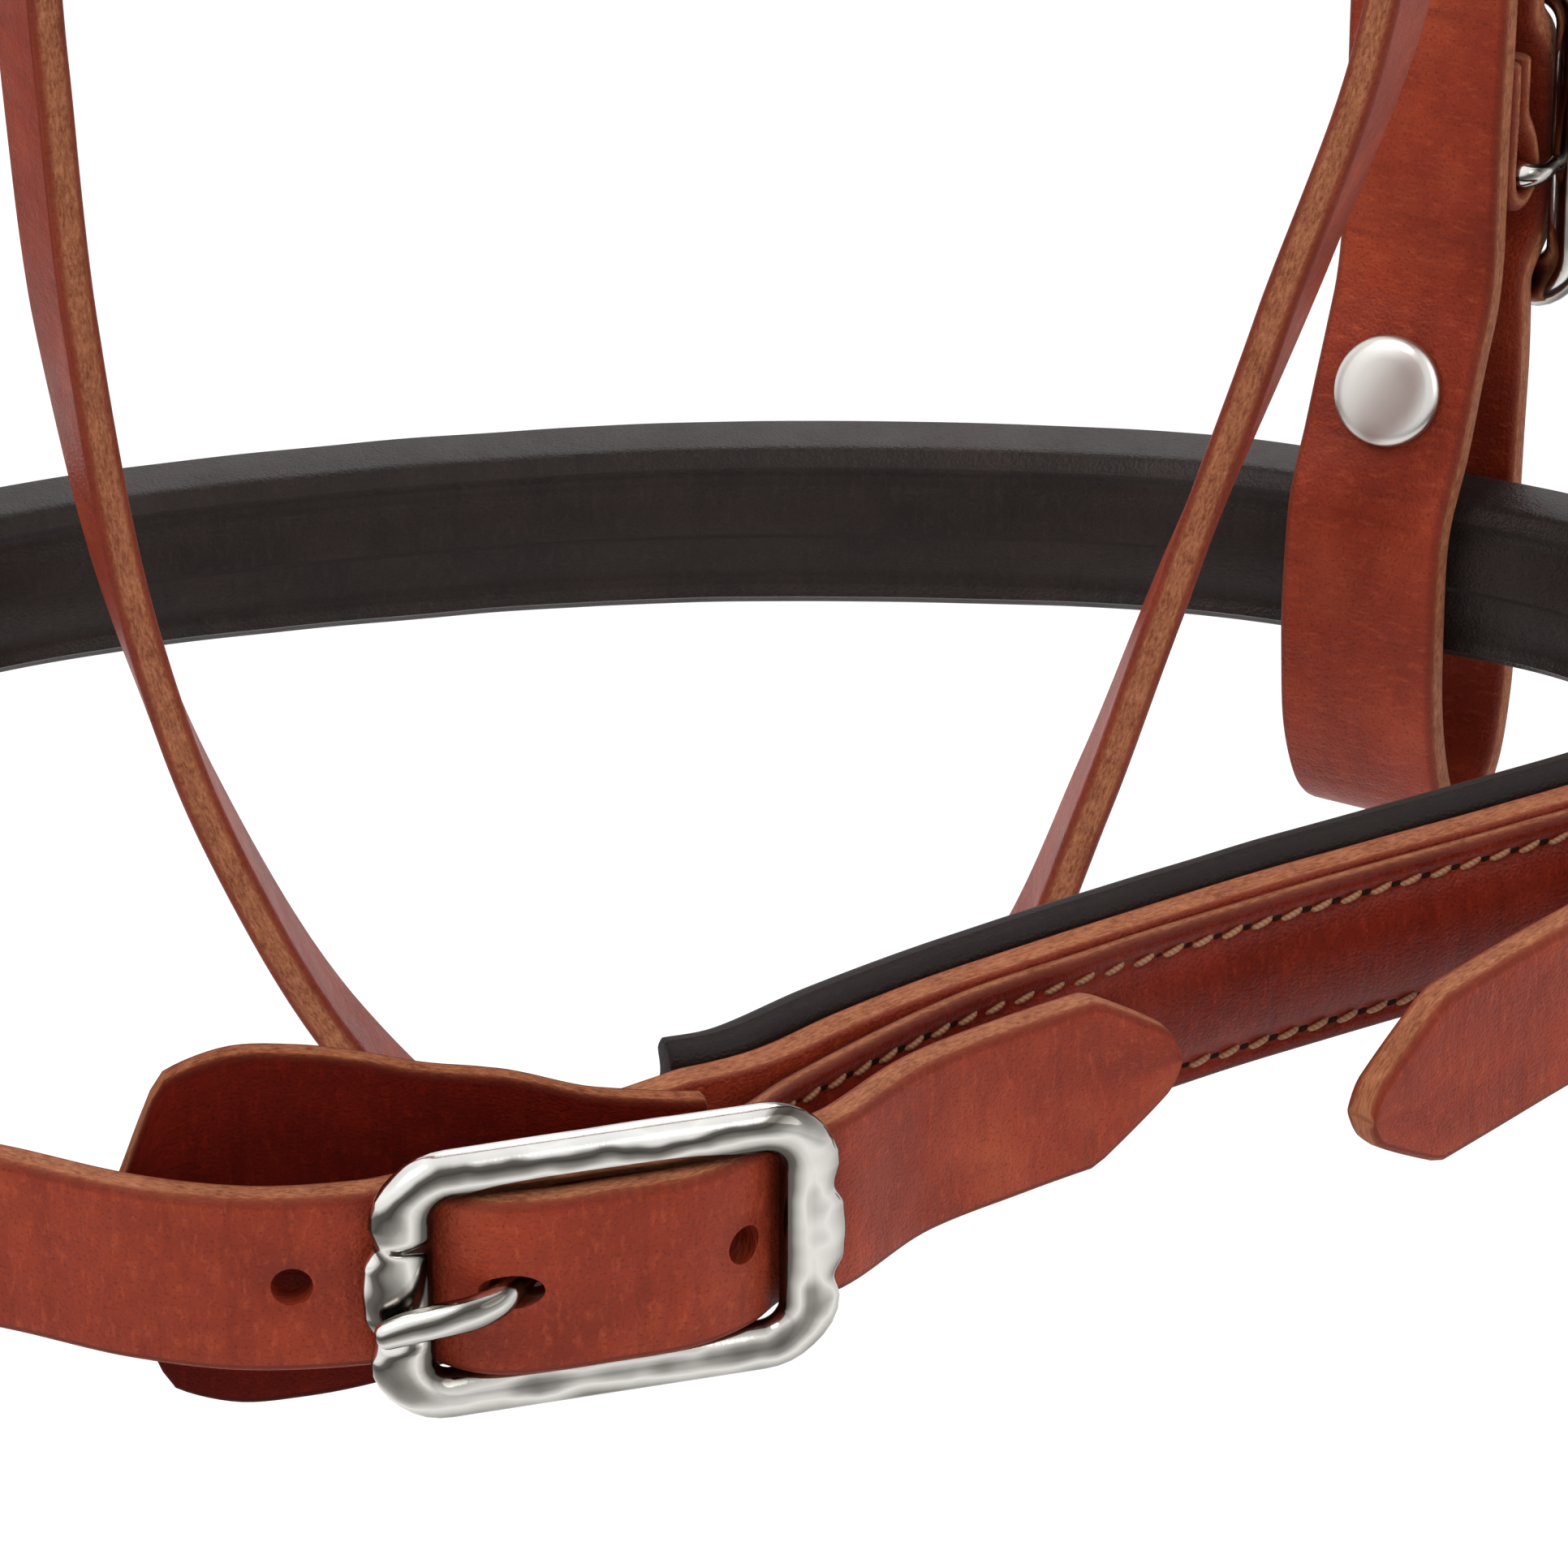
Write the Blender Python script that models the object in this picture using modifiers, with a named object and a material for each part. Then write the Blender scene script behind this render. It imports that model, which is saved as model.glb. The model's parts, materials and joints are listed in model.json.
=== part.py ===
"""Leather headstall with a padded noseband, a double-buckle chin pad and a throatlatch.

The crown's underside at the poll is the origin, +Y runs towards the horse's nose and
+Z is up. All lengths are metres.
"""
import math

import bmesh
import bpy
from mathutils import Matrix, Vector

PRODUCT = "headstall"

# Clearances, rounding and cutting
CLEAR = 0.0003
OVERRUN = 0.0010
EDGE_ROUND = 0.0007
MERGE = 0.00001
SKIVE = 0.0002

# Strap leather
THICK = 0.0040
CHIN_STRAP_WIDTH = 0.0190
CHEEK_WIDTH = 0.0190
TAIL_WIDTH = 0.0168
THROAT_WIDTH = 0.0130
HOLE_RADIUS = 0.0021
HOLE_PITCH = 0.0230
TIP_LENGTH = 0.0100

# Buckle hardware, the same section for every size
BAR_RADIUS = 0.0016
FRAME_RADIUS = 0.0025
FRAME_FLAT_SHARE = 0.72
FRAME_RISE = 0.0058
WINDOW_PLAY = 0.0005
PRONG_SIDE = 0.0185
CHAPE_SIDE = 0.0230
SMALL_PRONG_SIDE = 0.0155
SMALL_CHAPE_SIDE = 0.0215
FRAME_CORNER = 0.0045
SCALLOP = 0.0011
PRONG_RADIUS = 0.0013
PRONG_LIFT_DEG = 8
PRONG_PLAY = 0.0006

# Chape, the thin strap folded round a buckle's centre bar
CHAPE_THICK = 0.0024
CHAPE_LEAF = 0.0145
CHAPE_SLOT_WIDTH = 0.0046
HUMP_PLAY = 0.0008

# Crown, browband and upper straps
CROWN_RADIUS = 0.0780
CROWN_WIDTH = 0.0380
CROWN_END_DROP = 0.0850
TAIL_LAP = 0.0050
CHEEK_TAIL_FORWARD = 0.0102
THROAT_TAIL_BACK = 0.0123
BROW_WIDTH = 0.0160
BROW_THICK = 0.0030
BROW_DROP = 0.1150
UPPER_BUCKLE_DROP = 0.1850
BUCKLE_GAP = 0.0250
CHEEK_TAIL_TIP = 0.0420
THROAT_TAIL_TIP = 0.0220
SAFE_LENGTH = 0.0300
TWIST_START_DROP = 0.3150
TWIST_END_DROP = 0.2400

# Noseband ring, seen from above
RING_DROP = 0.4300
RING_SHIFT = 0.0250
RING_WIDTH = 0.2500
RING_DEPTH = 0.1700
CHEEK_YAW_DEG = 32.0

# Padded nose part and chin pad
COVER_THICK = 0.0024
NOSE_COVER_WIDTH = 0.0180
NOSE_LINING_WIDTH = 0.0212
CHIN_BASE_THICK = 0.0038
CHIN_BASE_WIDTH = 0.0190
CHIN_COVER_WIDTH = 0.0186
CHIN_LINING_WIDTH = 0.0215
LINING_THICK = 0.0042
LINING_START_SHARE = 0.72
DOME = 0.0012

# Chin buckles
GUARD_THICK = 0.0034
GUARD_LOBE_WIDTH = 0.0400
GUARD_LENGTH = 0.0442
CHIN_ONE_YAW_DEG = 192.4
CHIN_TWO_YAW_DEG = 45.0
CHIN_TIP_TWO_YAW_DEG = 219.6
CHIN_TIP_ONE_LIFT = 0.0030
CHIN_TIP_TWO = 0.0636
CHIN_TIP_TWO_SAG = 0.0030
CHAPE_REACH = 0.0300

# Cheek loop and its screw
LOOP_BOTTOM = 0.0350
LOOP_BUCKLE_RISE = 0.0445
SCREW_RISE = 0.0208
SCREW_HEAD_RADIUS = 0.0063
SCREW_HEAD_HEIGHT = 0.0018
SCREW_SHANK_RADIUS = 0.0022
SCREW_BACK_RADIUS = 0.0038
SCREW_BACK_HEIGHT = 0.0012
LOOP_TIP = 0.0400

# Throatlatch, hanging as a U inside the ring
THROAT_HALF = 0.0750
THROAT_BELOW = 0.0720

# Keepers
KEEPER_WIDTH = 0.0090
KEEPER_THICK = 0.0020
KEEPER_GAP = 0.0080
KEEPER_PLAY = 0.0005

# Sections
GRID_ROWS = 1
PAD_ROWS = 4
ROUND_SIDES = 12
FOLD_STEPS = 5
ARC_STEPS = 16
PATH_STEPS = 2
CORNER_STEPS = 2

# Shares along a buckle's guard: half widths, then place and sink for each buckle
GUARD_WIDTH_SHARES = (0.48, 0.60, 0.74, 0.80, 0.85, 0.93, 0.985, 1.00, 0.92, 0.78, 0.55, 0.30)
GUARD_ONE_SHARES = (
    (-0.36, 0.0), (-0.10, 0.0), (0.06, 0.0), (0.16, 0.004), (0.28, 0.018), (0.42, 0.042),
    (0.56, 0.070), (0.70, 0.095), (0.82, 0.112), (0.91, 0.125), (0.97, 0.131), (1.00, 0.134),
)
GUARD_TWO_SHARES = (
    (-0.36, 0.0), (-0.10, 0.0), (0.06, 0.01), (0.16, 0.02), (0.28, 0.035), (0.41, 0.085),
    (0.49, 0.17), (0.515, 0.27), (0.51, 0.36), (0.49, 0.44), (0.45, 0.51), (0.41, 0.56),
)

# Plan of the noseband ring: shares of its width and its depth, left end first
NOSE_SHARES = (
    (-0.364, -0.918), (-0.440, -0.862), (-0.504, -0.735), (-0.536, -0.565), (-0.540, -0.400),
    (-0.500, -0.222), (-0.400, -0.088), (-0.300, -0.018), (-0.160, 0.027), (0.0, 0.046),
    (0.160, 0.027), (0.260, -0.004), (0.342, -0.059), (0.416, -0.121), (0.460, -0.184),
)
LEFT_CHEEK_INDEX = 6
RIGHT_CHEEK_INDEX = 12
PAD_SHARES = (
    (0.0064, -0.869), (0.048, -0.823), (0.092, -0.780), (0.200, -0.691), (0.272, -0.638),
    (0.374, -0.566), (0.428, -0.523), (0.466, -0.478),
)
LEFT_BILLET_SHARES = ((-0.302, -0.924), (-0.250, -0.963), (-0.206, -0.981))
RIGHT_BILLET_SHARES = ((0.512, -0.230), (0.562, -0.274), (0.588, -0.328))
CHIN_ONE_SHARES = (-0.0796, -0.9429)
CHIN_TWO_SHARES = (0.5108, -0.4612)
RING_CENTRE_SHARES = (0.0, -0.45)
CHIN_TIP_ONE_SHARE = 0.64

# Chin cover between a bar and the pad: shares of the chape's reach, back and out
COVER_ONE_SHARES = ((0.37, -0.013), (0.50, -0.045), (0.66, -0.12), (0.83, -0.235))
COVER_TWO_SHARES = ((0.37, -0.013), (0.50, -0.060), (0.66, -0.165), (0.83, -0.310))

# Throatlatch: shares of its half width and of its depth below the ring, and its flare in degrees
THROAT_SHARES = (
    (-0.950, 1.70, 10), (-0.944, 1.35, 17), (-0.935, 1.03, 21), (-0.905, 0.60, 20), (-0.825, 0.10, 12),
    (-0.722, -0.24, 6), (-0.517, -0.66, 2), (-0.283, -0.915, 0), (-0.020, -1.00, 0), (0.235, -0.875, 0),
    (0.465, -0.60, 3), (0.602, -0.244, 8), (0.713, 0.10, 13), (0.879, 0.60, 25), (1.010, 1.03, 29),
    (1.035, 1.33, 24), (0.995, 1.66, 12),
)

# Cheek loop round the noseband: shares of its depth, outwards and up
LOOP_SHARES = (
    (-0.100, 1.16), (-0.103, 1.03), (-0.132, 0.885), (-0.191, 0.757), (-0.260, 0.611),
    (-0.341, 0.438), (-0.406, 0.330), (-0.448, 0.240), (-0.470, 0.110), (-0.472, -0.290),
    (-0.423, -0.600), (-0.310, -0.830), (-0.150, -0.920), (0.020, -0.830), (0.103, -0.600),
    (0.124, -0.290), (0.121, 0.060), (0.124, 0.300), (0.132, 0.480), (0.137, 0.600),
)
# The two runs at the screw, as shares of the loop's depth outwards
SCREW_RUN_SHARES = (-0.269, 0.137)

# Browband in plan: shares of the crown's middle radius, sideways and forwards, right half
BROW_SHARES = (
    (0.838, 0.436), (0.902, 0.365), (0.947, 0.230), (0.947, 0.0), (0.947, -0.218),
    (0.964, -0.259), (1.000, -0.274), (1.036, -0.259), (1.053, -0.218), (1.053, 0.0),
    (1.053, 0.250), (1.000, 0.372), (0.870, 0.482), (0.520, 0.585), (0.0, 0.625),
)

# Finishes: colour, roughness, metallic
LEATHER = ("chestnut_leather", (0.33, 0.085, 0.045), 0.5, 0.0)
LINING = ("black_lining_leather", (0.020, 0.016, 0.015), 0.45, 0.0)
NICKEL = ("polished_nickel", (0.62, 0.59, 0.55), 0.18, 1.0)

# Levels that follow from the sizes above
FRAME_HALF = FRAME_RADIUS * FRAME_FLAT_SHARE
CHAPE_FOLD = BAR_RADIUS + CLEAR + CHAPE_THICK / 2
SEAT = CHAPE_FOLD + CHAPE_THICK / 2 + CLEAR
HUMP = SEAT + THICK / 2 + HUMP_PLAY
TUCK = FRAME_RISE - FRAME_HALF - CLEAR - THICK / 2
STRAP_LEVEL = COVER_THICK + CLEAR + THICK / 2
LINING_LEVEL = COVER_THICK + CLEAR + THICK + CLEAR + LINING_THICK / 2
PAD_DROP = SEAT + GUARD_THICK - COVER_THICK
BASE_LEVEL = COVER_THICK + CLEAR + CHIN_BASE_THICK / 2
CHIN_LINING_LEVEL = COVER_THICK + CLEAR + CHIN_BASE_THICK + CLEAR + LINING_THICK / 2
CROWN_MIDDLE = CROWN_RADIUS + THICK / 2
UPPER_BAR_OUT = CROWN_MIDDLE - TUCK
BACKING_DROP = SEAT + THICK / 2
UPPER_BUCKLE_LENGTH = SMALL_CHAPE_SIDE + SMALL_PRONG_SIDE + FRAME_RADIUS * 2
THROAT_BUCKLE_DROP = UPPER_BUCKLE_DROP + UPPER_BUCKLE_LENGTH + BUCKLE_GAP
KEEPER_END = SMALL_CHAPE_SIDE + FRAME_RADIUS + KEEPER_GAP + KEEPER_WIDTH
UP = Vector((0, 0, 1))
FORWARD = Vector((0, 1, 0))
SMALL = (SMALL_PRONG_SIDE, SMALL_CHAPE_SIDE)
LARGE = (PRONG_SIDE, CHAPE_SIDE)


def clear_scene():
    for item in list(bpy.data.objects):
        bpy.data.objects.remove(item, do_unlink=True)


def make_collection(name):
    group = bpy.data.collections.new(name)
    bpy.context.scene.collection.children.link(group)
    return group


def make_material(finish):
    name, colour, roughness, metallic = finish
    found = bpy.data.materials.get(name)
    if found:
        return found
    material = bpy.data.materials.new(name)
    material.use_nodes = True
    shader = material.node_tree.nodes["Principled BSDF"]
    shader.inputs["Base Color"].default_value = (*colour, 1.0)
    shader.inputs["Roughness"].default_value = roughness
    shader.inputs["Metallic"].default_value = metallic
    material.diffuse_color = (*colour, 1.0)
    return material


def add_object(name, mesh, finish, group):
    item = bpy.data.objects.new(name, mesh)
    group.objects.link(item)
    mesh.materials.clear()
    mesh.materials.append(make_material(finish))
    return item


class Place:
    """A local frame: along the strap, across it and out of the ring."""

    def __init__(self, origin, along, out):
        self.origin = Vector(origin)
        self.along = Vector(along).normalized()
        self.out = Vector(out).normalized()
        self.across = self.out.cross(self.along).normalized()

    def at(self, along, across, out):
        return self.origin + self.along * along + self.across * across + self.out * out

    def matrix(self):
        turn = Matrix((self.along, self.across, self.out)).transposed().to_4x4()
        return Matrix.Translation(self.origin) @ turn


def ring_point(share):
    """A plan point of the noseband ring."""
    return Vector((share[0] * RING_WIDTH, share[1] * RING_DEPTH + RING_SHIFT, -RING_DROP))


def offset_line(shares, level):
    """Plan points moved to the left of their run by a level."""
    points = [ring_point(share) for share in shares]
    moved = []
    for index, point in enumerate(points):
        before = points[max(index - 1, 0)]
        after = points[min(index + 1, len(points) - 1)]
        moved.append(point + turn_out(after - before) * level)
    return moved


def turn_out(direction):
    """The level normal on the left of a direction."""
    flat = Vector((direction.x, direction.y, 0)).normalized()
    return Vector((-flat.y, flat.x, 0))


def smooth(points, steps):
    """Centripetal Catmull-Rom curve through the points, with even steps in each span."""
    count = len(points)
    result = []
    for index in range(count - 1):
        middle_a = points[index]
        middle_b = points[index + 1]
        outer_a = points[index - 1] if index > 0 else middle_a * 2 - middle_b
        outer_b = points[index + 2] if index + 2 < count else middle_b * 2 - middle_a
        knots = [0.0]
        for start, end in ((outer_a, middle_a), (middle_a, middle_b), (middle_b, outer_b)):
            knots.append(knots[-1] + math.sqrt((end - start).length))
        for step in range(steps):
            result.append(span_point((outer_a, middle_a, middle_b, outer_b), knots, step / steps))
    result.append(points[-1].copy())
    return result


def span_point(points, knots, share):
    """One point of a Catmull-Rom span by repeated blending."""
    place = knots[1] + (knots[2] - knots[1]) * share
    level = list(points)
    for depth in (1, 2):
        level = [blend_between(level, knots, index, depth, place) for index in range(len(level) - 1)]
    return level[0].lerp(level[1], share)


def blend_between(level, knots, index, depth, place):
    low = knots[index]
    high = knots[index + depth]
    return level[index].lerp(level[index + 1], (place - low) / (high - low))


def lengths_along(points):
    total = [0.0]
    for start, end in zip(points, points[1:]):
        total.append(total[-1] + (end - start).length)
    return total


def ribbon(name, points, across, width, thick, finish, group, rows=GRID_ROWS, dome=0.0,
           start_tip=0.0, end_tip=0.0, widths=None):
    """A strap: a grid bent along a path, thickened and with rounded edges."""
    count = len(points)
    sides = across if isinstance(across, list) else [across] * count
    total = lengths_along(points)
    mesh = bpy.data.meshes.new(name)
    sheet = bmesh.new()
    bmesh.ops.create_grid(sheet, x_segments=count - 1, y_segments=rows, size=1.0)
    for vertex in sheet.verts:
        station = round((vertex.co.x + 1) / 2 * (count - 1))
        share = vertex.co.y
        half = width / 2 if widths is None else widths[station]
        half *= tip_share(total[station], start_tip) * tip_share(total[-1] - total[station], end_tip)
        before = points[max(station - 1, 0)]
        after = points[min(station + 1, count - 1)]
        side = sides[station]
        normal = (after - before).cross(side).normalized()
        raised = dome * math.cos(math.pi / 2 * share) ** 2
        vertex.co = points[station] + side * (half * share) + normal * raised
    bmesh.ops.recalc_face_normals(sheet, faces=sheet.faces)
    sheet.to_mesh(mesh)
    sheet.free()
    item = add_object(name, mesh, finish, group)
    solid = item.modifiers.new("thickness", "SOLIDIFY")
    solid.thickness = thick
    solid.offset = 0.0
    solid.use_even_offset = True
    bevel = item.modifiers.new("rounded_edges", "BEVEL")
    bevel.width = min(EDGE_ROUND, thick / 4)
    bevel.segments = 1
    bevel.limit_method = "ANGLE"
    bevel.angle_limit = math.radians(60)
    return item


def tip_share(distance, tip):
    """The width's share near a rounded end."""
    if tip <= 0 or distance >= tip:
        return 1.0
    return 0.28 + 0.72 * math.sqrt(distance / tip)


def tube(name, points, radius, finish, group, radii_shares=None, closed=False, resolution=2):
    """A round wire along points, as a mesh with welded caps."""
    curve = bpy.data.curves.new(name, "CURVE")
    curve.dimensions = "3D"
    curve.bevel_depth = radius
    curve.bevel_resolution = resolution
    curve.use_fill_caps = not closed
    curve.resolution_u = 1
    spline = curve.splines.new("POLY")
    spline.points.add(len(points) - 1)
    spline.use_cyclic_u = closed
    for index, point in enumerate(points):
        spline.points[index].co = (*point, 1.0)
        if radii_shares:
            spline.points[index].radius = radii_shares[index]
    holder = bpy.data.objects.new(name + "_wire", curve)
    group.objects.link(holder)
    bpy.context.view_layer.update()
    evaluated = holder.evaluated_get(bpy.context.evaluated_depsgraph_get())
    mesh = bpy.data.meshes.new_from_object(evaluated)
    mesh.name = name
    bpy.data.objects.remove(holder, do_unlink=True)
    welded = bmesh.new()
    welded.from_mesh(mesh)
    bmesh.ops.remove_doubles(welded, verts=welded.verts, dist=MERGE)
    bmesh.ops.recalc_face_normals(welded, faces=welded.faces)
    welded.to_mesh(mesh)
    welded.free()
    item = add_object(name, mesh, finish, group)
    mesh.shade_smooth()
    return item


def rod(name, start, end, radius, finish, group, sides=ROUND_SIDES):
    """A plain round bar between two points."""
    axis = end - start
    mesh = bpy.data.meshes.new(name)
    body = bmesh.new()
    bmesh.ops.create_cone(body, cap_ends=True, segments=sides, radius1=radius, radius2=radius,
                          depth=axis.length)
    body.to_mesh(mesh)
    body.free()
    item = add_object(name, mesh, finish, group)
    item.location = (start + end) / 2
    item.rotation_mode = "QUATERNION"
    item.rotation_quaternion = UP.rotation_difference(axis)
    return item


def block(name, place, low, high, finish, group):
    """A box between two corners of a local frame."""
    mesh = bpy.data.meshes.new(name)
    body = bmesh.new()
    bmesh.ops.create_cube(body, size=1.0)
    size = Vector(high) - Vector(low)
    bmesh.ops.scale(body, vec=size, verts=body.verts)
    bmesh.ops.translate(body, vec=(Vector(high) + Vector(low)) / 2, verts=body.verts)
    body.to_mesh(mesh)
    body.free()
    item = add_object(name, mesh, finish, group)
    item.matrix_world = place.matrix()
    return item


def hide_cutter(cutter):
    cutter.hide_render = True
    cutter.display_type = "WIRE"


def carve(item, cutter, operation="DIFFERENCE"):
    hide_cutter(cutter)
    step = item.modifiers.new(cutter.name, "BOOLEAN")
    step.operation = operation
    step.solver = "EXACT"
    step.object = cutter


def punch(item, name, centre, normal, cutters, radius=HOLE_RADIUS, depth=THICK):
    """A round hole through a strap."""
    reach = normal * (depth / 2 + OVERRUN)
    carve(item, rod(name, centre - reach, centre + reach, radius, NICKEL, cutters))


def walk(points, distance):
    """The point and direction at a length along a path."""
    for start, end in zip(points, points[1:]):
        step = (end - start).length
        if distance <= step:
            return start.lerp(end, distance / step), (end - start).normalized()
        distance -= step
    return points[-1], (points[-1] - points[-2]).normalized()


def nearest_length(points, target):
    """The length along a path at its point nearest a target."""
    total = lengths_along(points)
    index = min(range(len(points)), key=lambda place: (points[place] - target).length)
    return total[index]


def punch_row(item, name, points, target, across, steps, cutters):
    """Billet holes before and after a buckle, at an even pitch."""
    middle = nearest_length(points, target)
    for step in steps:
        centre, direction = walk(points, middle + step * HOLE_PITCH)
        normal = direction.cross(across).normalized()
        punch(item, f"{name}_hole_{step}".replace("-", "m"), centre, normal, cutters)


def scalloped_end(side, half):
    """Plan points of an end bar, with a middle lobe between two notches."""
    points = []
    for share, swell in ((-0.50, 0.0), (-0.40, 0.8), (-0.28, 0.35), (0.0, 1.25), (0.28, 0.35),
                         (0.40, 0.8), (0.50, 0.0)):
        turn = math.copysign(1, side)
        points.append((side + SCALLOP * swell * turn, half * share * turn))
    return points


def corner_arc(centre_along, centre_across, start_deg):
    points = []
    for step in range(CORNER_STEPS + 1):
        angle = math.radians(start_deg + 90 * step / CORNER_STEPS)
        points.append((centre_along + FRAME_CORNER * math.cos(angle),
                       centre_across + FRAME_CORNER * math.sin(angle)))
    return points


def flatten_frame(mesh, place):
    """Press a frame's wire towards its own level."""
    for vertex in mesh.vertices:
        height = (vertex.co - place.origin).dot(place.out) - FRAME_RISE
        vertex.co -= place.out * height * (1 - FRAME_FLAT_SHARE)


def buckle_frame(name, place, strap_width, group, cutters, sides=LARGE):
    """Nickel frame with scalloped ends and a dropped centre bar."""
    prong_side, chape_side = sides
    half = strap_width / 2 + WINDOW_PLAY + FRAME_RADIUS
    inset = FRAME_CORNER
    outline = scalloped_end(prong_side, half)
    outline += corner_arc(prong_side - inset, half - inset, 0)
    outline += corner_arc(-chape_side + inset, half - inset, 90)
    outline += scalloped_end(-chape_side, half)
    outline += corner_arc(-chape_side + inset, -half + inset, 180)
    outline += corner_arc(prong_side - inset, -half + inset, 270)
    points = [place.at(along, across, FRAME_RISE) for along, across in outline]
    frame = tube(name, points, FRAME_RADIUS, NICKEL, group, closed=True)
    flatten_frame(frame.data, place)
    bend = BAR_RADIUS
    bar = [
        place.at(0, half, FRAME_RISE), place.at(0, half, bend), place.at(0, half - bend, 0),
        place.at(0, -half + bend, 0), place.at(0, -half, bend), place.at(0, -half, FRAME_RISE),
    ]
    carve(frame, tube(name + "_bar", bar, BAR_RADIUS, NICKEL, cutters), "UNION")
    return frame


def prong_route(prong_side):
    """Side view of a prong: an eye round the bar, a shank up through the strap and a tip."""
    eye = BAR_RADIUS + CLEAR + PRONG_RADIUS * 0.85
    points = []
    for step in range(FOLD_STEPS):
        angle = math.radians(-60 - 195 * step / (FOLD_STEPS - 1))
        points.append((eye * math.cos(angle), eye * math.sin(angle)))
    rest = FRAME_RISE + FRAME_HALF + CLEAR + PRONG_RADIUS
    points += [
        (HUMP * 0.46, SEAT * 0.88), (HUMP * 0.90, HUMP * 0.92), (HUMP * 1.25, HUMP * 1.27),
        (HUMP * 1.62, rest + CLEAR * 3), (prong_side * 0.80, rest + CLEAR * 3),
        (prong_side, rest), (prong_side + FRAME_RADIUS * 0.9, rest - CLEAR * 2),
    ]
    return points


def prong_piece(name, place, group, sides=LARGE):
    radii_shares = [0.85] * FOLD_STEPS + [0.9, 1.0, 1.0, 1.1, 1.15, 1.0, 0.75]
    points = [place.at(along, 0, out) for along, out in prong_route(sides[0])]
    return tube(name, points, PRONG_RADIUS, NICKEL, group, radii_shares=radii_shares,
                resolution=1)


def prong_slot(item, name, place, cutters, sides=LARGE):
    """Room for a prong in the strap that it passes, at rest and lifted."""
    route = prong_route(sides[0])[FOLD_STEPS - 1:FOLD_STEPS + 4]
    for index, lift in enumerate((0, PRONG_LIFT_DEG)):
        turn = math.radians(lift)
        points = []
        for along, out in route:
            points.append(place.at(along * math.cos(turn) - out * math.sin(turn), 0,
                                   along * math.sin(turn) + out * math.cos(turn)))
        carve(item, tube(f"{name}_{index}", points, PRONG_RADIUS + PRONG_PLAY, NICKEL, cutters,
                         resolution=1))


def fold_points(place):
    """The half turn of a chape round the centre bar, inner side first."""
    points = []
    for step in range(FOLD_STEPS):
        angle = math.radians(-90 + 180 * step / (FOLD_STEPS - 1))
        points.append(place.at(CHAPE_FOLD * math.cos(angle), 0, CHAPE_FOLD * math.sin(angle)))
    return points


def chape_points(place):
    """Path of a short chape: inner leaf, round the bar, then the outer leaf."""
    pressed = -CHAPE_FOLD + CHAPE_THICK + CLEAR
    points = [place.at(-CHAPE_LEAF, 0, -CHAPE_FOLD), place.at(-CHAPE_LEAF / 2, 0, -CHAPE_FOLD)]
    points += fold_points(place)
    points += [
        place.at(-CHAPE_LEAF * 0.28, 0, CHAPE_FOLD * 0.62),
        place.at(-CHAPE_LEAF * 0.52, 0, pressed * 0.6),
        place.at(-CHAPE_LEAF * 0.74, 0, pressed), place.at(-CHAPE_LEAF, 0, pressed),
    ]
    return points


def chape_slot(item, name, place, cutters):
    reach = CHAPE_FOLD + CHAPE_THICK
    half = CHAPE_SLOT_WIDTH / 2
    carve(item, block(name, place, (-reach, -half, -reach), (reach, half, reach), NICKEL, cutters))


def chape(name, place, width, group, cutters):
    """A short chape with a slot for its prong."""
    item = ribbon(name, chape_points(place), place.across, width, CHAPE_THICK, LEATHER, group)
    chape_slot(item, name + "_slot", place, cutters)
    return item


def hump_points(place, sides=LARGE):
    """A billet's middle line through a buckle, prong side first."""
    prong_side, chape_side = sides
    levels = (
        (prong_side + FRAME_RADIUS, TUCK), (prong_side - FRAME_RADIUS, TUCK),
        (prong_side * 0.52, HUMP * 0.76), (prong_side * 0.20, HUMP), (-chape_side * 0.12, HUMP),
        (-chape_side * 0.42, HUMP * 0.80), (-chape_side * 0.68, HUMP * 0.50),
        (-chape_side + FRAME_RADIUS, TUCK), (-chape_side - FRAME_RADIUS, TUCK),
    )
    return [place.at(along, 0, out) for along, out in levels]


def yaw_place(share, yaw_deg):
    """A chin buckle's frame on the ring: heading is towards the prong's tip."""
    yaw = math.radians(yaw_deg)
    along = Vector((math.cos(yaw), math.sin(yaw), 0))
    origin = ring_point(share)
    outward = turn_out(along)
    if outward.dot(origin - ring_point(RING_CENTRE_SHARES)) < 0:
        outward = -outward
    return Place(origin, along, outward)


def chin_places():
    return yaw_place(CHIN_ONE_SHARES, CHIN_ONE_YAW_DEG), yaw_place(CHIN_TWO_SHARES, CHIN_TWO_YAW_DEG)


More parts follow.
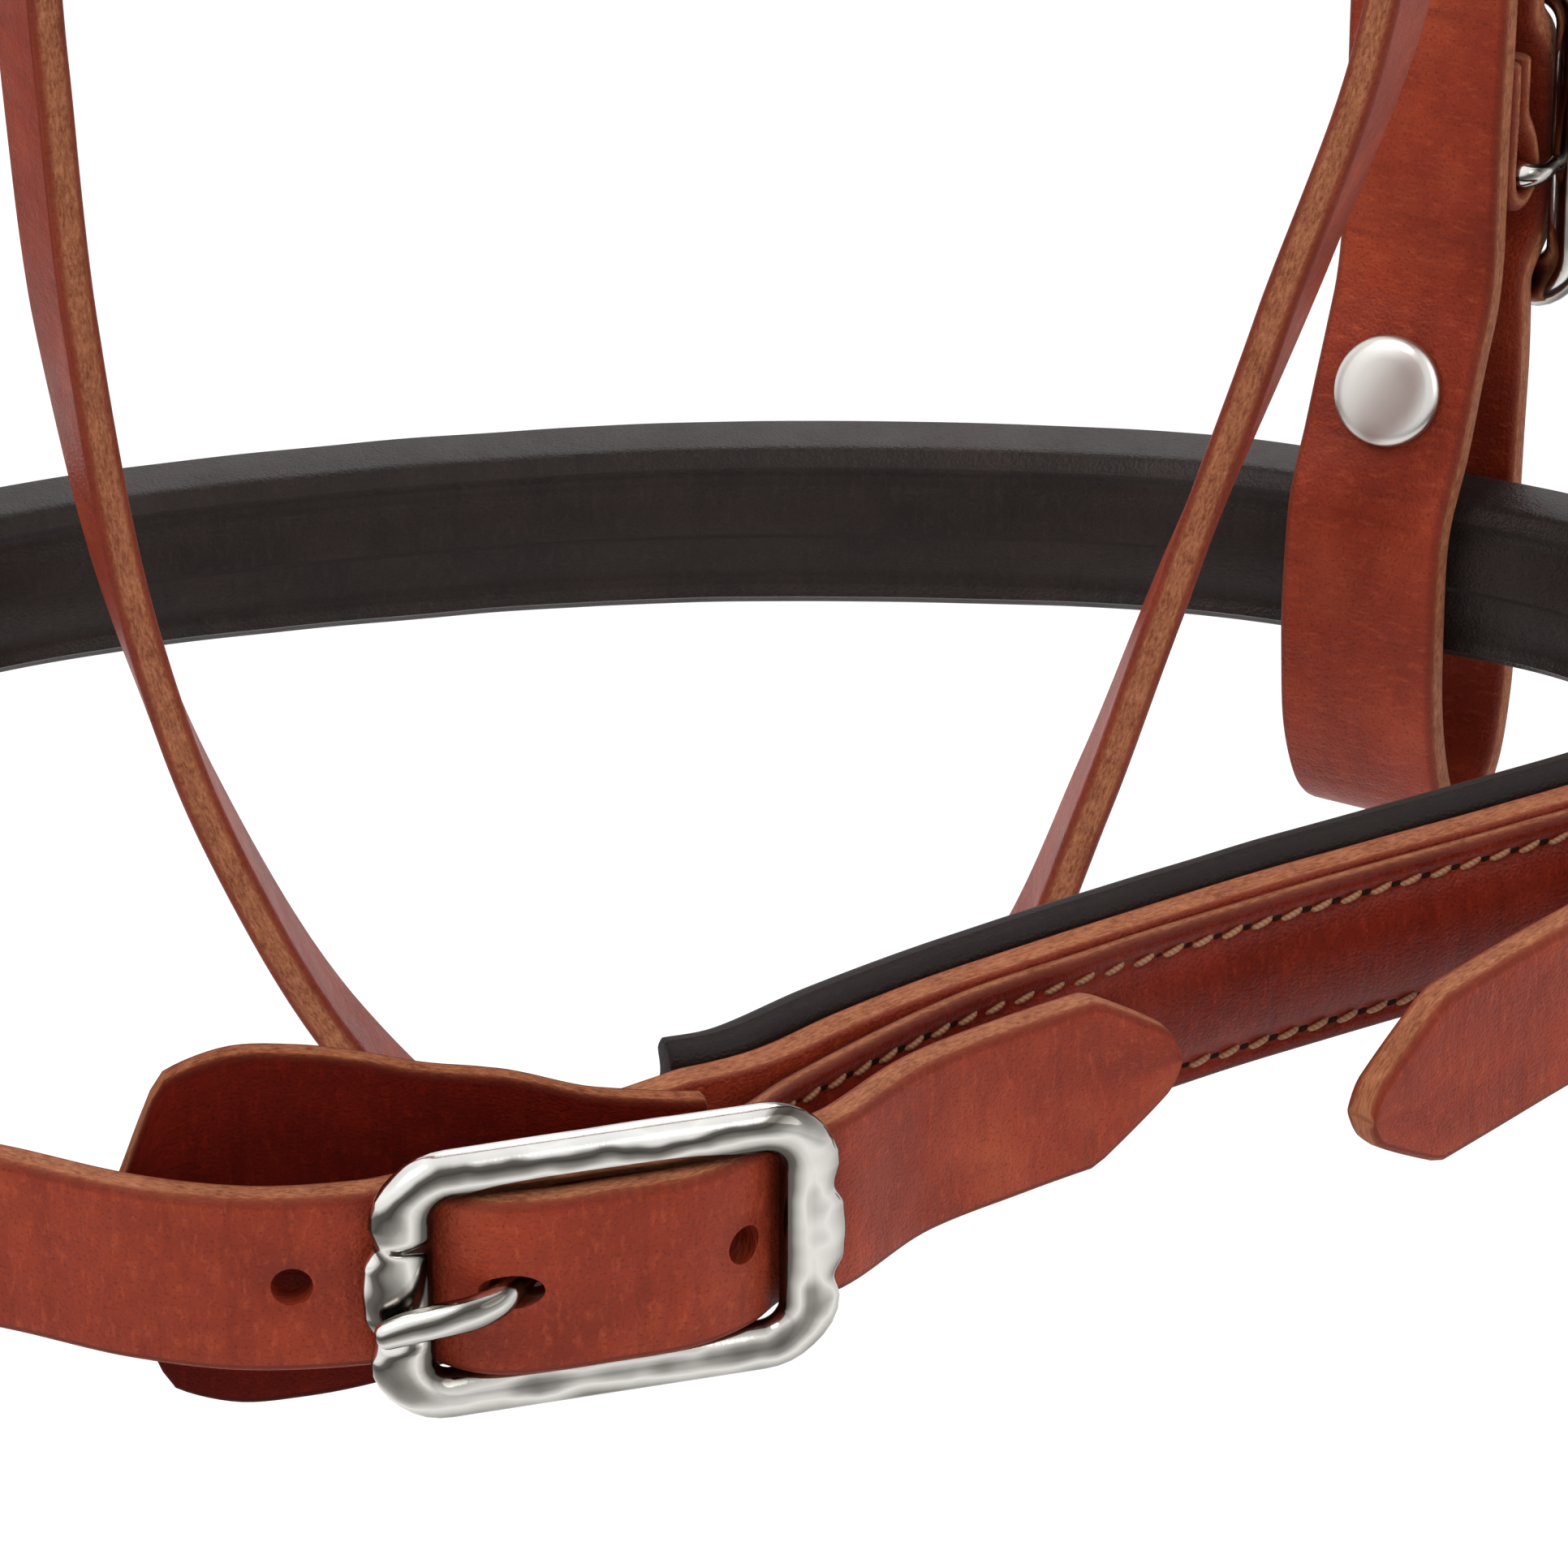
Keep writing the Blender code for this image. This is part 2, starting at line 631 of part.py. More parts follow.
def nose_strap(group, cutters):
    """The long strap: billet, padded run round the nose, billet."""
    one, two = chin_places()
    pad = offset_line(PAD_SHARES, -(THICK / 2 + DOME + CLEAR * 2 + CHIN_TIP_ONE_LIFT))
    control = [pad[2].lerp(pad[3], CHIN_TIP_ONE_SHARE), pad[2], pad[1]]
    control += reversed(hump_points(one))
    control += [ring_point(share) for share in reversed(LEFT_BILLET_SHARES)]
    control += offset_line(NOSE_SHARES, -STRAP_LEVEL)
    control += [ring_point(share) for share in RIGHT_BILLET_SHARES]
    control += hump_points(two)
    yaw = math.radians(CHIN_TIP_TWO_YAW_DEG)
    free = Vector((math.cos(yaw), math.sin(yaw), 0))
    last = control[-1]
    for share in (0.5, 1):
        control.append(last + free * (CHIN_TIP_TWO * share) - UP * (CHIN_TIP_TWO_SAG * share * share))
    points = smooth(control, PATH_STEPS)
    strap = ribbon("nose_strap", points, UP, CHIN_STRAP_WIDTH, THICK, LEATHER, group,
                   start_tip=TIP_LENGTH, end_tip=TIP_LENGTH)
    prong_slot(strap, "prong_slot_left", one, cutters)
    prong_slot(strap, "prong_slot_right", two, cutters)
    punch_row(strap, "left", points, one.at(HUMP, 0, HUMP), UP, (-1, 1), cutters)
    punch_row(strap, "right", points, two.at(HUMP, 0, HUMP), UP, (-1, 1), cutters)
    return strap


def nose_padding(group):
    """The stitched cover outside the strap and the black lining inside it."""
    cover = smooth(offset_line(NOSE_SHARES, -COVER_THICK / 2), PATH_STEPS)
    ribbon("nose_cover", cover, UP, NOSE_COVER_WIDTH, COVER_THICK, LEATHER, group, rows=PAD_ROWS,
           dome=-DOME)
    lining = smooth(offset_line(NOSE_SHARES, -LINING_LEVEL), PATH_STEPS)
    ribbon("nose_lining", lining, UP, NOSE_LINING_WIDTH, LINING_THICK, LINING, group, rows=PAD_ROWS,
           dome=DOME)


def pad_line(level, start_share=0.0):
    """The chin pad's line at a level inside its outer face, between the two bars."""
    one, two = chin_places()
    points = offset_line(PAD_SHARES, level)
    start = one.at(0, 0, -PAD_DROP - level).lerp(points[0], start_share)
    if start_share > 0:
        return [start] + points
    return [start] + points + [two.at(0, 0, -PAD_DROP - level)]


def chin_padding(group):
    """The stiff base that runs to both bars and the black lining inside it."""
    ribbon("chin_base", smooth(pad_line(BASE_LEVEL), PATH_STEPS), UP, CHIN_BASE_WIDTH,
           CHIN_BASE_THICK, LEATHER, group)
    ribbon("chin_lining", smooth(pad_line(CHIN_LINING_LEVEL, LINING_START_SHARE), PATH_STEPS), UP,
           CHIN_LINING_WIDTH, LINING_THICK, LINING, group, rows=PAD_ROWS, dome=-DOME)


def cover_end(place, shares):
    """The cover's inner leaf, its fold round a bar and its run down to the pad."""
    points = [place.at(-CHAPE_LEAF * 0.8, 0, -CHAPE_FOLD), place.at(-CHAPE_LEAF / 2, 0, -CHAPE_FOLD)]
    points += fold_points(place)
    points.append(place.at(-CHAPE_LEAF * 0.28, 0, CHAPE_FOLD * 0.62))
    points += [place.at(-CHAPE_REACH * back, 0, CHAPE_REACH * out) for back, out in shares]
    return points


def chin_cover(group, cutters):
    """One strip: a chape round each centre bar and the stitched face between them."""
    one, two = chin_places()
    middle = smooth(offset_line(PAD_SHARES, COVER_THICK / 2), PATH_STEPS)[PATH_STEPS * 2:-PATH_STEPS * 2]
    points = cover_end(one, COVER_ONE_SHARES) + middle + list(reversed(cover_end(two, COVER_TWO_SHARES)))
    cover = ribbon("chin_cover", points, UP, CHIN_COVER_WIDTH, COVER_THICK, LEATHER, group)
    chape_slot(cover, "cover_slot_left", one, cutters)
    chape_slot(cover, "cover_slot_right", two, cutters)


def guard(name, place, shares, group):
    """The lobe that keeps a chin buckle off the skin."""
    level = SEAT + GUARD_THICK / 2
    path = [place.at(GUARD_LENGTH * along, 0, -level - GUARD_LENGTH * sink) for along, sink in shares]
    widths = []
    for low, high in zip(GUARD_WIDTH_SHARES, GUARD_WIDTH_SHARES[1:]):
        widths += [low, (low + high) / 2]
    widths.append(GUARD_WIDTH_SHARES[-1])
    half = GUARD_LOBE_WIDTH / 2
    ribbon(name, smooth(path, 2), UP, GUARD_LOBE_WIDTH, GUARD_THICK, LEATHER, group,
           widths=[half * share for share in widths])


def chin_hardware(group, cutters):
    for label, place, shares in zip(("left", "right"), chin_places(), (GUARD_ONE_SHARES, GUARD_TWO_SHARES)):
        guard(f"chin_guard_{label}", place, shares, group)
        buckle_frame(f"chin_buckle_{label}", place, CHIN_STRAP_WIDTH, group, cutters)
        prong_piece(f"chin_prong_{label}", place, group)


def cheek_place(side):
    """A cheek's frame on the ring: outward normal, with its origin on the band's face."""
    yaw = math.radians(CHEEK_YAW_DEG)
    index = RIGHT_CHEEK_INDEX if side > 0 else LEFT_CHEEK_INDEX
    return Place(ring_point(NOSE_SHARES[index]), -UP, (side * math.sin(yaw), math.cos(yaw), 0))


def loop_buckle_place(side):
    base = cheek_place(side)
    inner = LOOP_SHARES[0][0] * LOOP_BOTTOM
    return Place(base.at(-LOOP_BUCKLE_RISE, 0, inner + BACKING_DROP), base.along, base.out)


def cheek_strap_path(side):
    """Middle line and width directions of a cheek strap, top end first."""
    base = cheek_place(side)
    top = Vector((side * (UPPER_BAR_OUT - BACKING_DROP), CHEEK_TAIL_FORWARD, 0))
    low = base.at(0, 0, LOOP_SHARES[0][0] * LOOP_BOTTOM)
    start = SAFE_LENGTH - UPPER_BUCKLE_DROP
    control = [top + UP * (start + (-TWIST_END_DROP - start) * share) for share in (0.0, 0.3, 0.6, 0.85, 1.0)]
    for share in (0.25, 0.5, 0.75, 1.0):
        ease = share * share * (3 - 2 * share)
        drop = TWIST_END_DROP + (TWIST_START_DROP - TWIST_END_DROP) * share
        level = top.lerp(Vector((low.x, low.y, 0)), ease)
        control.append(level - UP * drop)
    control += [base.at(-rise * LOOP_BOTTOM, 0, out * LOOP_BOTTOM) for out, rise in LOOP_SHARES]
    buckle = loop_buckle_place(side)
    control += hump_points(buckle, SMALL)
    last = -SMALL_CHAPE_SIDE - FRAME_RADIUS
    control += [buckle.at(last - LOOP_TIP / 2, 0, TUCK), buckle.at(last - LOOP_TIP, 0, TUCK)]
    points = smooth(control, PATH_STEPS)
    return points, [strap_side(base, side, -point.z) for point in points]


def strap_side(base, side, drop):
    """The strap's width direction, turned from the band's run to fore and aft."""
    share = (TWIST_START_DROP - drop) / (TWIST_START_DROP - TWIST_END_DROP)
    share = min(max(share, 0.0), 1.0)
    ease = share * share * (3 - 2 * share)
    angle = math.radians((90 - CHEEK_YAW_DEG) * ease + CHEEK_YAW_DEG)
    return Vector((math.cos(angle), -side * math.sin(angle), 0))


def upper_place(side, drop, forward):
    """A crown buckle's frame: the prong points up and the face looks outwards."""
    return Place((side * UPPER_BAR_OUT, forward, -drop), UP, (side, 0, 0))


def run_at_screw(base, points, widths, share):
    """A run's middle point at the screw and the direction out of its face."""
    target = base.at(-SCREW_RISE, 0, share * LOOP_BOTTOM)
    total = lengths_along(points)
    index = min(range(len(points)), key=lambda place: (points[place] - target).length)
    centre, direction = walk(points, total[index] + (target - points[index]).dot(
        (points[index + 1] - points[index - 1]).normalized()))
    normal = direction.cross(widths[index]).normalized()
    return centre, normal if normal.dot(base.out) > 0 else -normal


def loop_screw(label, side, strap, path, group, cutters):
    """A two-part screw through both runs: a headed shank inside and a washer outside."""
    base = cheek_place(side)
    inner, inward = run_at_screw(base, *path, SCREW_RUN_SHARES[0])
    outer, outward = run_at_screw(base, *path, SCREW_RUN_SHARES[1])
    seat = inner - inward * (THICK / 2 + CLEAR)
    head = rod(f"loop_screw_{label}", seat, seat - inward * SCREW_HEAD_HEIGHT, SCREW_HEAD_RADIUS,
               NICKEL, group, sides=24)
    axis = (outer - inner).normalized()
    start = inner - axis * (THICK / 2 + CLEAR + SCREW_HEAD_HEIGHT / 2)
    shank = rod(f"loop_shank_{label}", start, outer + axis * THICK / 4, SCREW_SHANK_RADIUS, NICKEL, cutters)
    carve(head, shank, "UNION")
    back = outer + outward * (THICK / 2 + CLEAR * 2)
    rod(f"loop_screw_back_{label}", back, back + outward * SCREW_BACK_HEIGHT, SCREW_BACK_RADIUS,
        NICKEL, group, sides=16)
    carve(strap, rod(f"screw_hole_{label}", inner - axis * THICK, outer + axis * THICK,
                     SCREW_SHANK_RADIUS + CLEAR, NICKEL, cutters))


def cheek(label, side, group, cutters):
    """One cheek: the strap round the noseband, its buckle, chape and screw."""
    points, widths = cheek_strap_path(side)
    strap = ribbon(f"cheek_strap_{label}", points, widths, CHEEK_WIDTH, THICK, LEATHER, group,
                   end_tip=TIP_LENGTH)
    buckle = loop_buckle_place(side)
    prong_slot(strap, f"loop_slot_{label}", buckle, cutters, SMALL)
    chape(f"loop_chape_{label}", buckle, CHEEK_WIDTH - SKIVE, group, cutters)
    buckle_frame(f"loop_buckle_{label}", buckle, CHEEK_WIDTH, group, cutters, SMALL)
    prong_piece(f"loop_prong_{label}", buckle, group, SMALL)
    loop_screw(label, side, strap, (points, widths), group, cutters)
    last = (-SMALL_CHAPE_SIDE - LOOP_TIP / 2, -SMALL_CHAPE_SIDE - LOOP_TIP)
    for index, along in enumerate(last):
        centre = buckle.at(along + TIP_LENGTH, 0, TUCK)
        punch(strap, f"loop_hole_{label}_{index}", centre, buckle.out, cutters)


def band(name, outline, centre, axes, width, thick, group):
    """A closed band round a strap: an outline in two axes, given depth along the third."""
    first, second, depth = axes
    mesh = bpy.data.meshes.new(name)
    body = bmesh.new()
    rings = []
    for grow, shift in ((0, -width / 2), (thick, -width / 2), (thick, width / 2), (0, width / 2)):
        ring = []
        for flat, tall, lean_flat, lean_tall in outline:
            point = centre + first * (flat + lean_flat * grow) + second * (tall + lean_tall * grow)
            ring.append(body.verts.new(point + depth * shift))
        rings.append(ring)
    count = len(outline)
    for low, high in zip(rings, rings[1:] + rings[:1]):
        for index in range(count):
            after = (index + 1) % count
            body.faces.new((low[index], low[after], high[after], high[index]))
    bmesh.ops.recalc_face_normals(body, faces=body.faces)
    body.to_mesh(mesh)
    body.free()
    return add_object(name, mesh, LEATHER, group)


def keeper_outline(half_flat, half_tall):
    """A rounded rectangle: points and the direction in which each one grows."""
    outline = []
    turn = KEEPER_THICK
    for sign_flat, sign_tall, start in ((1, 1, 0), (-1, 1, 90), (-1, -1, 180), (1, -1, 270)):
        for step in range(3):
            angle = math.radians(start + 45 * step)
            lean = (math.cos(angle), math.sin(angle))
            outline.append((sign_flat * (half_flat - turn) + turn * lean[0],
                            sign_tall * (half_tall - turn) + turn * lean[1], *lean))
    return outline


def keeper(name, place, strap_width, group):
    """The keeper below a crown buckle, round the backing strap and the tail's tip."""
    along = KEEPER_WIDTH / 2 - KEEPER_END
    low = -BACKING_DROP - THICK / 2 - KEEPER_PLAY
    high = TUCK + THICK / 2 + KEEPER_PLAY
    outline = keeper_outline(strap_width / 2 + KEEPER_PLAY, (high - low) / 2)
    band(name, outline, place.at(along, 0, (low + high) / 2), (place.across, place.out, place.along),
         KEEPER_WIDTH, KEEPER_THICK, group)


def tail_path(place, tip):
    """A crown tail from inside the crown down through its buckle."""
    start = Vector((place.at(0, 0, TUCK).x, place.origin.y, -CROWN_END_DROP + TAIL_LAP))
    buckle_top = place.at(SMALL_PRONG_SIDE + FRAME_RADIUS, 0, TUCK)
    control = [start, start.lerp(buckle_top, 0.35), start.lerp(buckle_top, 0.75)]
    control += hump_points(place, SMALL)
    last = -SMALL_CHAPE_SIDE - FRAME_RADIUS
    control += [place.at(last - tip / 2, 0, TUCK), place.at(last - tip, 0, TUCK)]
    return smooth(control, PATH_STEPS)


def crown_arc():
    """The crown's middle line over the poll, right end first."""
    centre = Vector((0, 0, -CROWN_RADIUS))
    points = [Vector((CROWN_MIDDLE, 0, -CROWN_END_DROP))]
    for step in range(ARC_STEPS + 1):
        angle = math.pi * step / ARC_STEPS
        points.append(centre + Vector((CROWN_MIDDLE * math.cos(angle), 0, CROWN_MIDDLE * math.sin(angle))))
    points.append(Vector((-CROWN_MIDDLE, 0, -CROWN_END_DROP)))
    return points


def crown(group, cutters):
    """The crown with its four tails, cut from one piece of leather."""
    strap = ribbon("crown", crown_arc(), FORWARD, CROWN_WIDTH, THICK, LEATHER, group)
    for label, side in (("left", -1), ("right", 1)):
        cheek_buckle = upper_place(side, UPPER_BUCKLE_DROP, CHEEK_TAIL_FORWARD)
        throat_buckle = upper_place(side, THROAT_BUCKLE_DROP, -THROAT_TAIL_BACK)
        for use, place, width, tip in (("cheek", cheek_buckle, TAIL_WIDTH, CHEEK_TAIL_TIP),
                                       ("throat", throat_buckle, THROAT_WIDTH, THROAT_TAIL_TIP)):
            path = tail_path(place, tip)
            tail = ribbon(f"{use}_tail_{label}", path, FORWARD, width, THICK - SKIVE, LEATHER,
                          cutters, end_tip=TIP_LENGTH)
            prong_slot(tail, f"{use}_tail_slot_{label}", place, cutters, SMALL)
            if use == "cheek":
                punch_row(tail, f"{use}_{label}", path, place.at(HUMP, 0, HUMP), FORWARD, (-2, 1, 2), cutters)
            carve(strap, tail, "UNION")
    return strap


def crown_hardware(group, cutters):
    """Each crown buckle with its prong, chape and keeper."""
    for label, side in (("left", -1), ("right", 1)):
        places = (("cheek", upper_place(side, UPPER_BUCKLE_DROP, CHEEK_TAIL_FORWARD), CHEEK_WIDTH),
                  ("throat", upper_place(side, THROAT_BUCKLE_DROP, -THROAT_TAIL_BACK), THROAT_WIDTH))
        for use, place, width in places:
            buckle_frame(f"{use}_buckle_{label}", place, width, group, cutters, SMALL)
            prong_piece(f"{use}_prong_{label}", place, group, SMALL)
            chape(f"{use}_chape_{label}", place, width - SKIVE, group, cutters)
            keeper(f"{use}_keeper_{label}", place, width, group)


def browband(group):
    """A strip across the forehead, folded back round the crown's tails at both ends."""
    half = [Vector((side * CROWN_MIDDLE, front * CROWN_MIDDLE, -BROW_DROP)) for side, front in BROW_SHARES]
    mirrored = [Vector((-point.x, point.y, point.z)) for point in reversed(half[:-1])]
    ribbon("browband", smooth(half + mirrored, PATH_STEPS), UP, BROW_WIDTH, BROW_THICK, LEATHER, group)


def spread(values, steps):
    """Even steps between neighbouring values, as many as a smoothed path has points."""
    result = []
    for low, high in zip(values, values[1:]):
        result += [low + (high - low) * step / steps for step in range(steps)]
    return result + [values[-1]]


def throat_strap(group):
    """The throatlatch hanging as a U between its two buckles, behind the cheeks."""
    control = []
    flares = []
    for side in (-1, 1):
        top = side * (UPPER_BAR_OUT - BACKING_DROP)
        drops = [THROAT_BUCKLE_DROP - SAFE_LENGTH, THROAT_BUCKLE_DROP, THROAT_BUCKLE_DROP + KEEPER_END]
        if side > 0:
            drops.reverse()
            rows = THROAT_SHARES
            control += [Vector((across * THROAT_HALF, -THROAT_TAIL_BACK, rise * THROAT_BELOW - RING_DROP))
                        for across, rise, flare in rows]
            flares += [math.radians(math.copysign(flare, across)) for across, rise, flare in rows]
        control += [Vector((top, -THROAT_TAIL_BACK, -drop)) for drop in drops]
        flares += [0.0] * len(drops)
    sides = [Vector((math.sin(flare), math.cos(flare), 0)) for flare in spread(flares, PATH_STEPS)]
    return ribbon("throat_strap", smooth(control, PATH_STEPS), sides, THROAT_WIDTH, THICK, LEATHER, group)


def build():
    clear_scene()
    group = make_collection(PRODUCT)
    cutters = make_collection("cutters")
    nose_strap(group, cutters)
    nose_padding(group)
    chin_padding(group)
    chin_cover(group, cutters)
    chin_hardware(group, cutters)
    for label, side in (("left", -1), ("right", 1)):
        cheek(label, side, group, cutters)
    crown(group, cutters)
    crown_hardware(group, cutters)
    browband(group)
    throat_strap(group)
    for item in cutters.objects:
        hide_cutter(item)


build()
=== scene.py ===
"""Looks of the leather headstall: smooth straps, sewn padding, nickel hardware.

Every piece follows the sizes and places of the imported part. All lengths are metres.
"""

import json
import math

import bmesh
import bpy
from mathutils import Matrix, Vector, noise

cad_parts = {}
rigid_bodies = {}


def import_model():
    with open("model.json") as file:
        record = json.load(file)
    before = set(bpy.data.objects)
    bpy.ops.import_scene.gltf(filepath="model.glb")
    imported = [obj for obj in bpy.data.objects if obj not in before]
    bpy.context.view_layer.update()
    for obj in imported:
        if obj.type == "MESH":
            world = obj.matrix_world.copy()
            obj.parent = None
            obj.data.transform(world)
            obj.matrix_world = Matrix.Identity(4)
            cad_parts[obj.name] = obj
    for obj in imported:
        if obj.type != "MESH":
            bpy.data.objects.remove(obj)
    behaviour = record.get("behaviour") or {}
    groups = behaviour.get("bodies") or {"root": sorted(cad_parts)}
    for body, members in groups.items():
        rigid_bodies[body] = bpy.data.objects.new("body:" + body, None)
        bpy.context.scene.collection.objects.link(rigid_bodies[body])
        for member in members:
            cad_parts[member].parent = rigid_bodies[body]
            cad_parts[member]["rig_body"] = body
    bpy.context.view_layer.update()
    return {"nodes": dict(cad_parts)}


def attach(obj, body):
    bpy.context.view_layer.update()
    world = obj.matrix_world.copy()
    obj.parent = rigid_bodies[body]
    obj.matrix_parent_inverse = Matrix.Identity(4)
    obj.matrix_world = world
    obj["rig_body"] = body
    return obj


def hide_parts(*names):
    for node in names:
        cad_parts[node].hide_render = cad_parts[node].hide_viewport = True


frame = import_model()

# Sizes and places of the part
CLEAR = 0.0003
THICK = 0.0040
CHIN_STRAP_WIDTH = 0.0190
CHEEK_WIDTH = 0.0190
TAIL_WIDTH = 0.0168
THROAT_WIDTH = 0.0130
HOLE_RADIUS = 0.0021
HOLE_PITCH = 0.0230
BAR_RADIUS = 0.0016
FRAME_RADIUS = 0.0025
FRAME_FLAT_SHARE = 0.72
FRAME_RISE = 0.0058
WINDOW_PLAY = 0.0005
PRONG_SIDE = 0.0185
CHAPE_SIDE = 0.0230
SMALL_PRONG_SIDE = 0.0155
SMALL_CHAPE_SIDE = 0.0215
PRONG_RADIUS = 0.0013
PRONG_LIFT_DEG = 8
PRONG_PLAY = 0.0006
CHAPE_THICK = 0.0024
CHAPE_LEAF = 0.0145
CHAPE_SLOT_WIDTH = 0.0046
HUMP_PLAY = 0.0008
CROWN_RADIUS = 0.0780
CROWN_WIDTH = 0.0380
CROWN_END_DROP = 0.0850
TAIL_LAP = 0.0050
CHEEK_TAIL_FORWARD = 0.0102
THROAT_TAIL_BACK = 0.0123
BROW_WIDTH = 0.0160
BROW_THICK = 0.0030
BROW_DROP = 0.1150
UPPER_BUCKLE_DROP = 0.1850
BUCKLE_GAP = 0.0250
CHEEK_TAIL_TIP = 0.0420
THROAT_TAIL_TIP = 0.0220
SAFE_LENGTH = 0.0300
TWIST_START_DROP = 0.3150
TWIST_END_DROP = 0.2400
RING_DROP = 0.4300
RING_SHIFT = 0.0250
RING_WIDTH = 0.2500
RING_DEPTH = 0.1700
CHEEK_YAW_DEG = 32.0
COVER_THICK = 0.0024
CHIN_BASE_THICK = 0.0038
CHIN_BASE_WIDTH = 0.0190
CHIN_COVER_WIDTH = 0.0186
CHIN_LINING_WIDTH = 0.0215
LINING_THICK = 0.0042
LINING_START_SHARE = 0.72
GUARD_THICK = 0.0034
GUARD_LOBE_WIDTH = 0.0400
GUARD_LENGTH = 0.0442
CHIN_ONE_YAW_DEG = 192.4
CHIN_TWO_YAW_DEG = 45.0
CHIN_TIP_TWO_YAW_DEG = 219.6
CHIN_TIP_ONE_SHARE = 0.64
CHIN_TIP_ONE_LIFT = 0.0030
CHIN_TIP_TWO = 0.0636
CHIN_TIP_TWO_SAG = 0.0030
CHAPE_REACH = 0.0300
LOOP_BOTTOM = 0.0350
LOOP_BUCKLE_RISE = 0.0445
SCREW_RISE = 0.0208
SCREW_HEAD_RADIUS = 0.0063
SCREW_HEAD_HEIGHT = 0.0018
SCREW_BACK_RADIUS = 0.0038
SCREW_BACK_HEIGHT = 0.0012
LOOP_TIP = 0.0400
THROAT_HALF = 0.0750
THROAT_BELOW = 0.0720
SCREW_SHANK_RADIUS = 0.0022
SKIVE = 0.0002
TIP_LENGTH = 0.0100
KEEPER_WIDTH = 0.0090
KEEPER_THICK = 0.0020
KEEPER_GAP = 0.0080
KEEPER_PLAY = 0.0005
LEFT_CHEEK_INDEX = 6
RIGHT_CHEEK_INDEX = 12

# Shares of the part's outlines and routes
GUARD_WIDTH_SHARES = (0.48, 0.60, 0.74, 0.80, 0.85, 0.93, 0.985, 1.00, 0.92, 0.78, 0.55, 0.30)
GUARD_ONE_SHARES = (
    (-0.36, 0.0), (-0.10, 0.0), (0.06, 0.0), (0.16, 0.004), (0.28, 0.018), (0.42, 0.042),
    (0.56, 0.070), (0.70, 0.095), (0.82, 0.112), (0.91, 0.125), (0.97, 0.131), (1.00, 0.134),
)
GUARD_TWO_SHARES = (
    (-0.36, 0.0), (-0.10, 0.0), (0.06, 0.01), (0.16, 0.02), (0.28, 0.035), (0.41, 0.085),
    (0.49, 0.17), (0.515, 0.27), (0.51, 0.36), (0.49, 0.44), (0.45, 0.51), (0.41, 0.56),
)
NOSE_SHARES = (
    (-0.364, -0.918), (-0.440, -0.862), (-0.504, -0.735), (-0.536, -0.565), (-0.540, -0.400),
    (-0.500, -0.222), (-0.400, -0.088), (-0.300, -0.018), (-0.160, 0.027), (0.0, 0.046),
    (0.160, 0.027), (0.260, -0.004), (0.342, -0.059), (0.416, -0.121), (0.460, -0.184),
)
PAD_SHARES = (
    (0.0064, -0.869), (0.048, -0.823), (0.092, -0.780), (0.200, -0.691), (0.272, -0.638),
    (0.374, -0.566), (0.428, -0.523), (0.466, -0.478),
)
LEFT_BILLET_SHARES = ((-0.302, -0.924), (-0.250, -0.963), (-0.206, -0.981))
RIGHT_BILLET_SHARES = ((0.512, -0.230), (0.562, -0.274), (0.588, -0.328))
CHIN_ONE_SHARES = (-0.0796, -0.9429)
CHIN_TWO_SHARES = (0.5108, -0.4612)
RING_CENTRE_SHARES = (0.0, -0.45)
COVER_ONE_SHARES = ((0.37, -0.013), (0.50, -0.045), (0.66, -0.12), (0.83, -0.235))
COVER_TWO_SHARES = ((0.37, -0.013), (0.50, -0.060), (0.66, -0.165), (0.83, -0.310))
THROAT_SHARES = (
    (-0.950, 1.70, 10), (-0.944, 1.35, 17), (-0.935, 1.03, 21), (-0.905, 0.60, 20), (-0.825, 0.10, 12),
    (-0.722, -0.24, 6), (-0.517, -0.66, 2), (-0.283, -0.915, 0), (-0.020, -1.00, 0), (0.235, -0.875, 0),
    (0.465, -0.60, 3), (0.602, -0.244, 8), (0.713, 0.10, 13), (0.879, 0.60, 25), (1.010, 1.03, 29),
    (1.035, 1.33, 24), (0.995, 1.66, 12),
)
LOOP_SHARES = (
    (-0.100, 1.16), (-0.103, 1.03), (-0.132, 0.885), (-0.191, 0.757), (-0.260, 0.611),
    (-0.341, 0.438), (-0.406, 0.330), (-0.448, 0.240), (-0.470, 0.110), (-0.472, -0.290),
    (-0.423, -0.600), (-0.310, -0.830), (-0.150, -0.920), (0.020, -0.830), (0.103, -0.600),
    (0.124, -0.290), (0.121, 0.060), (0.124, 0.300), (0.132, 0.480), (0.137, 0.600),
)
SCREW_RUN_SHARES = (-0.269, 0.137)
BROW_SHARES = (
    (0.838, 0.436), (0.902, 0.365), (0.947, 0.230), (0.947, 0.0), (0.947, -0.218),
    (0.964, -0.259), (1.000, -0.274), (1.036, -0.259), (1.053, -0.218), (1.053, 0.0),
    (1.053, 0.250), (1.000, 0.372), (0.870, 0.482), (0.520, 0.585), (0.0, 0.625),
)

# Fine surface
STATION = 0.0011
FULLER = 0.0006
ROUTE_STEPS = 12
FACE_STEPS = 16
PAD_STEPS = 30
CORNER_STEPS = 4
EDGE_ROUND = 0.0010
EDGE_BELLY = 0.12
LINING_ROUND = 0.0017
WAVE = 0.00012
WAVE_LENGTH = 0.0110
TIP = 0.0105
TIP_STEPS = 14
TIP_BLUNT = 0.24
TIP_POWER = 0.88
TIP_NOSE = 0.0016
END_BEVEL = 0.0003
SHARP_DEG = 48
HOLE_DIP = 0.00045
HOLE_DIP_REACH = 0.0042

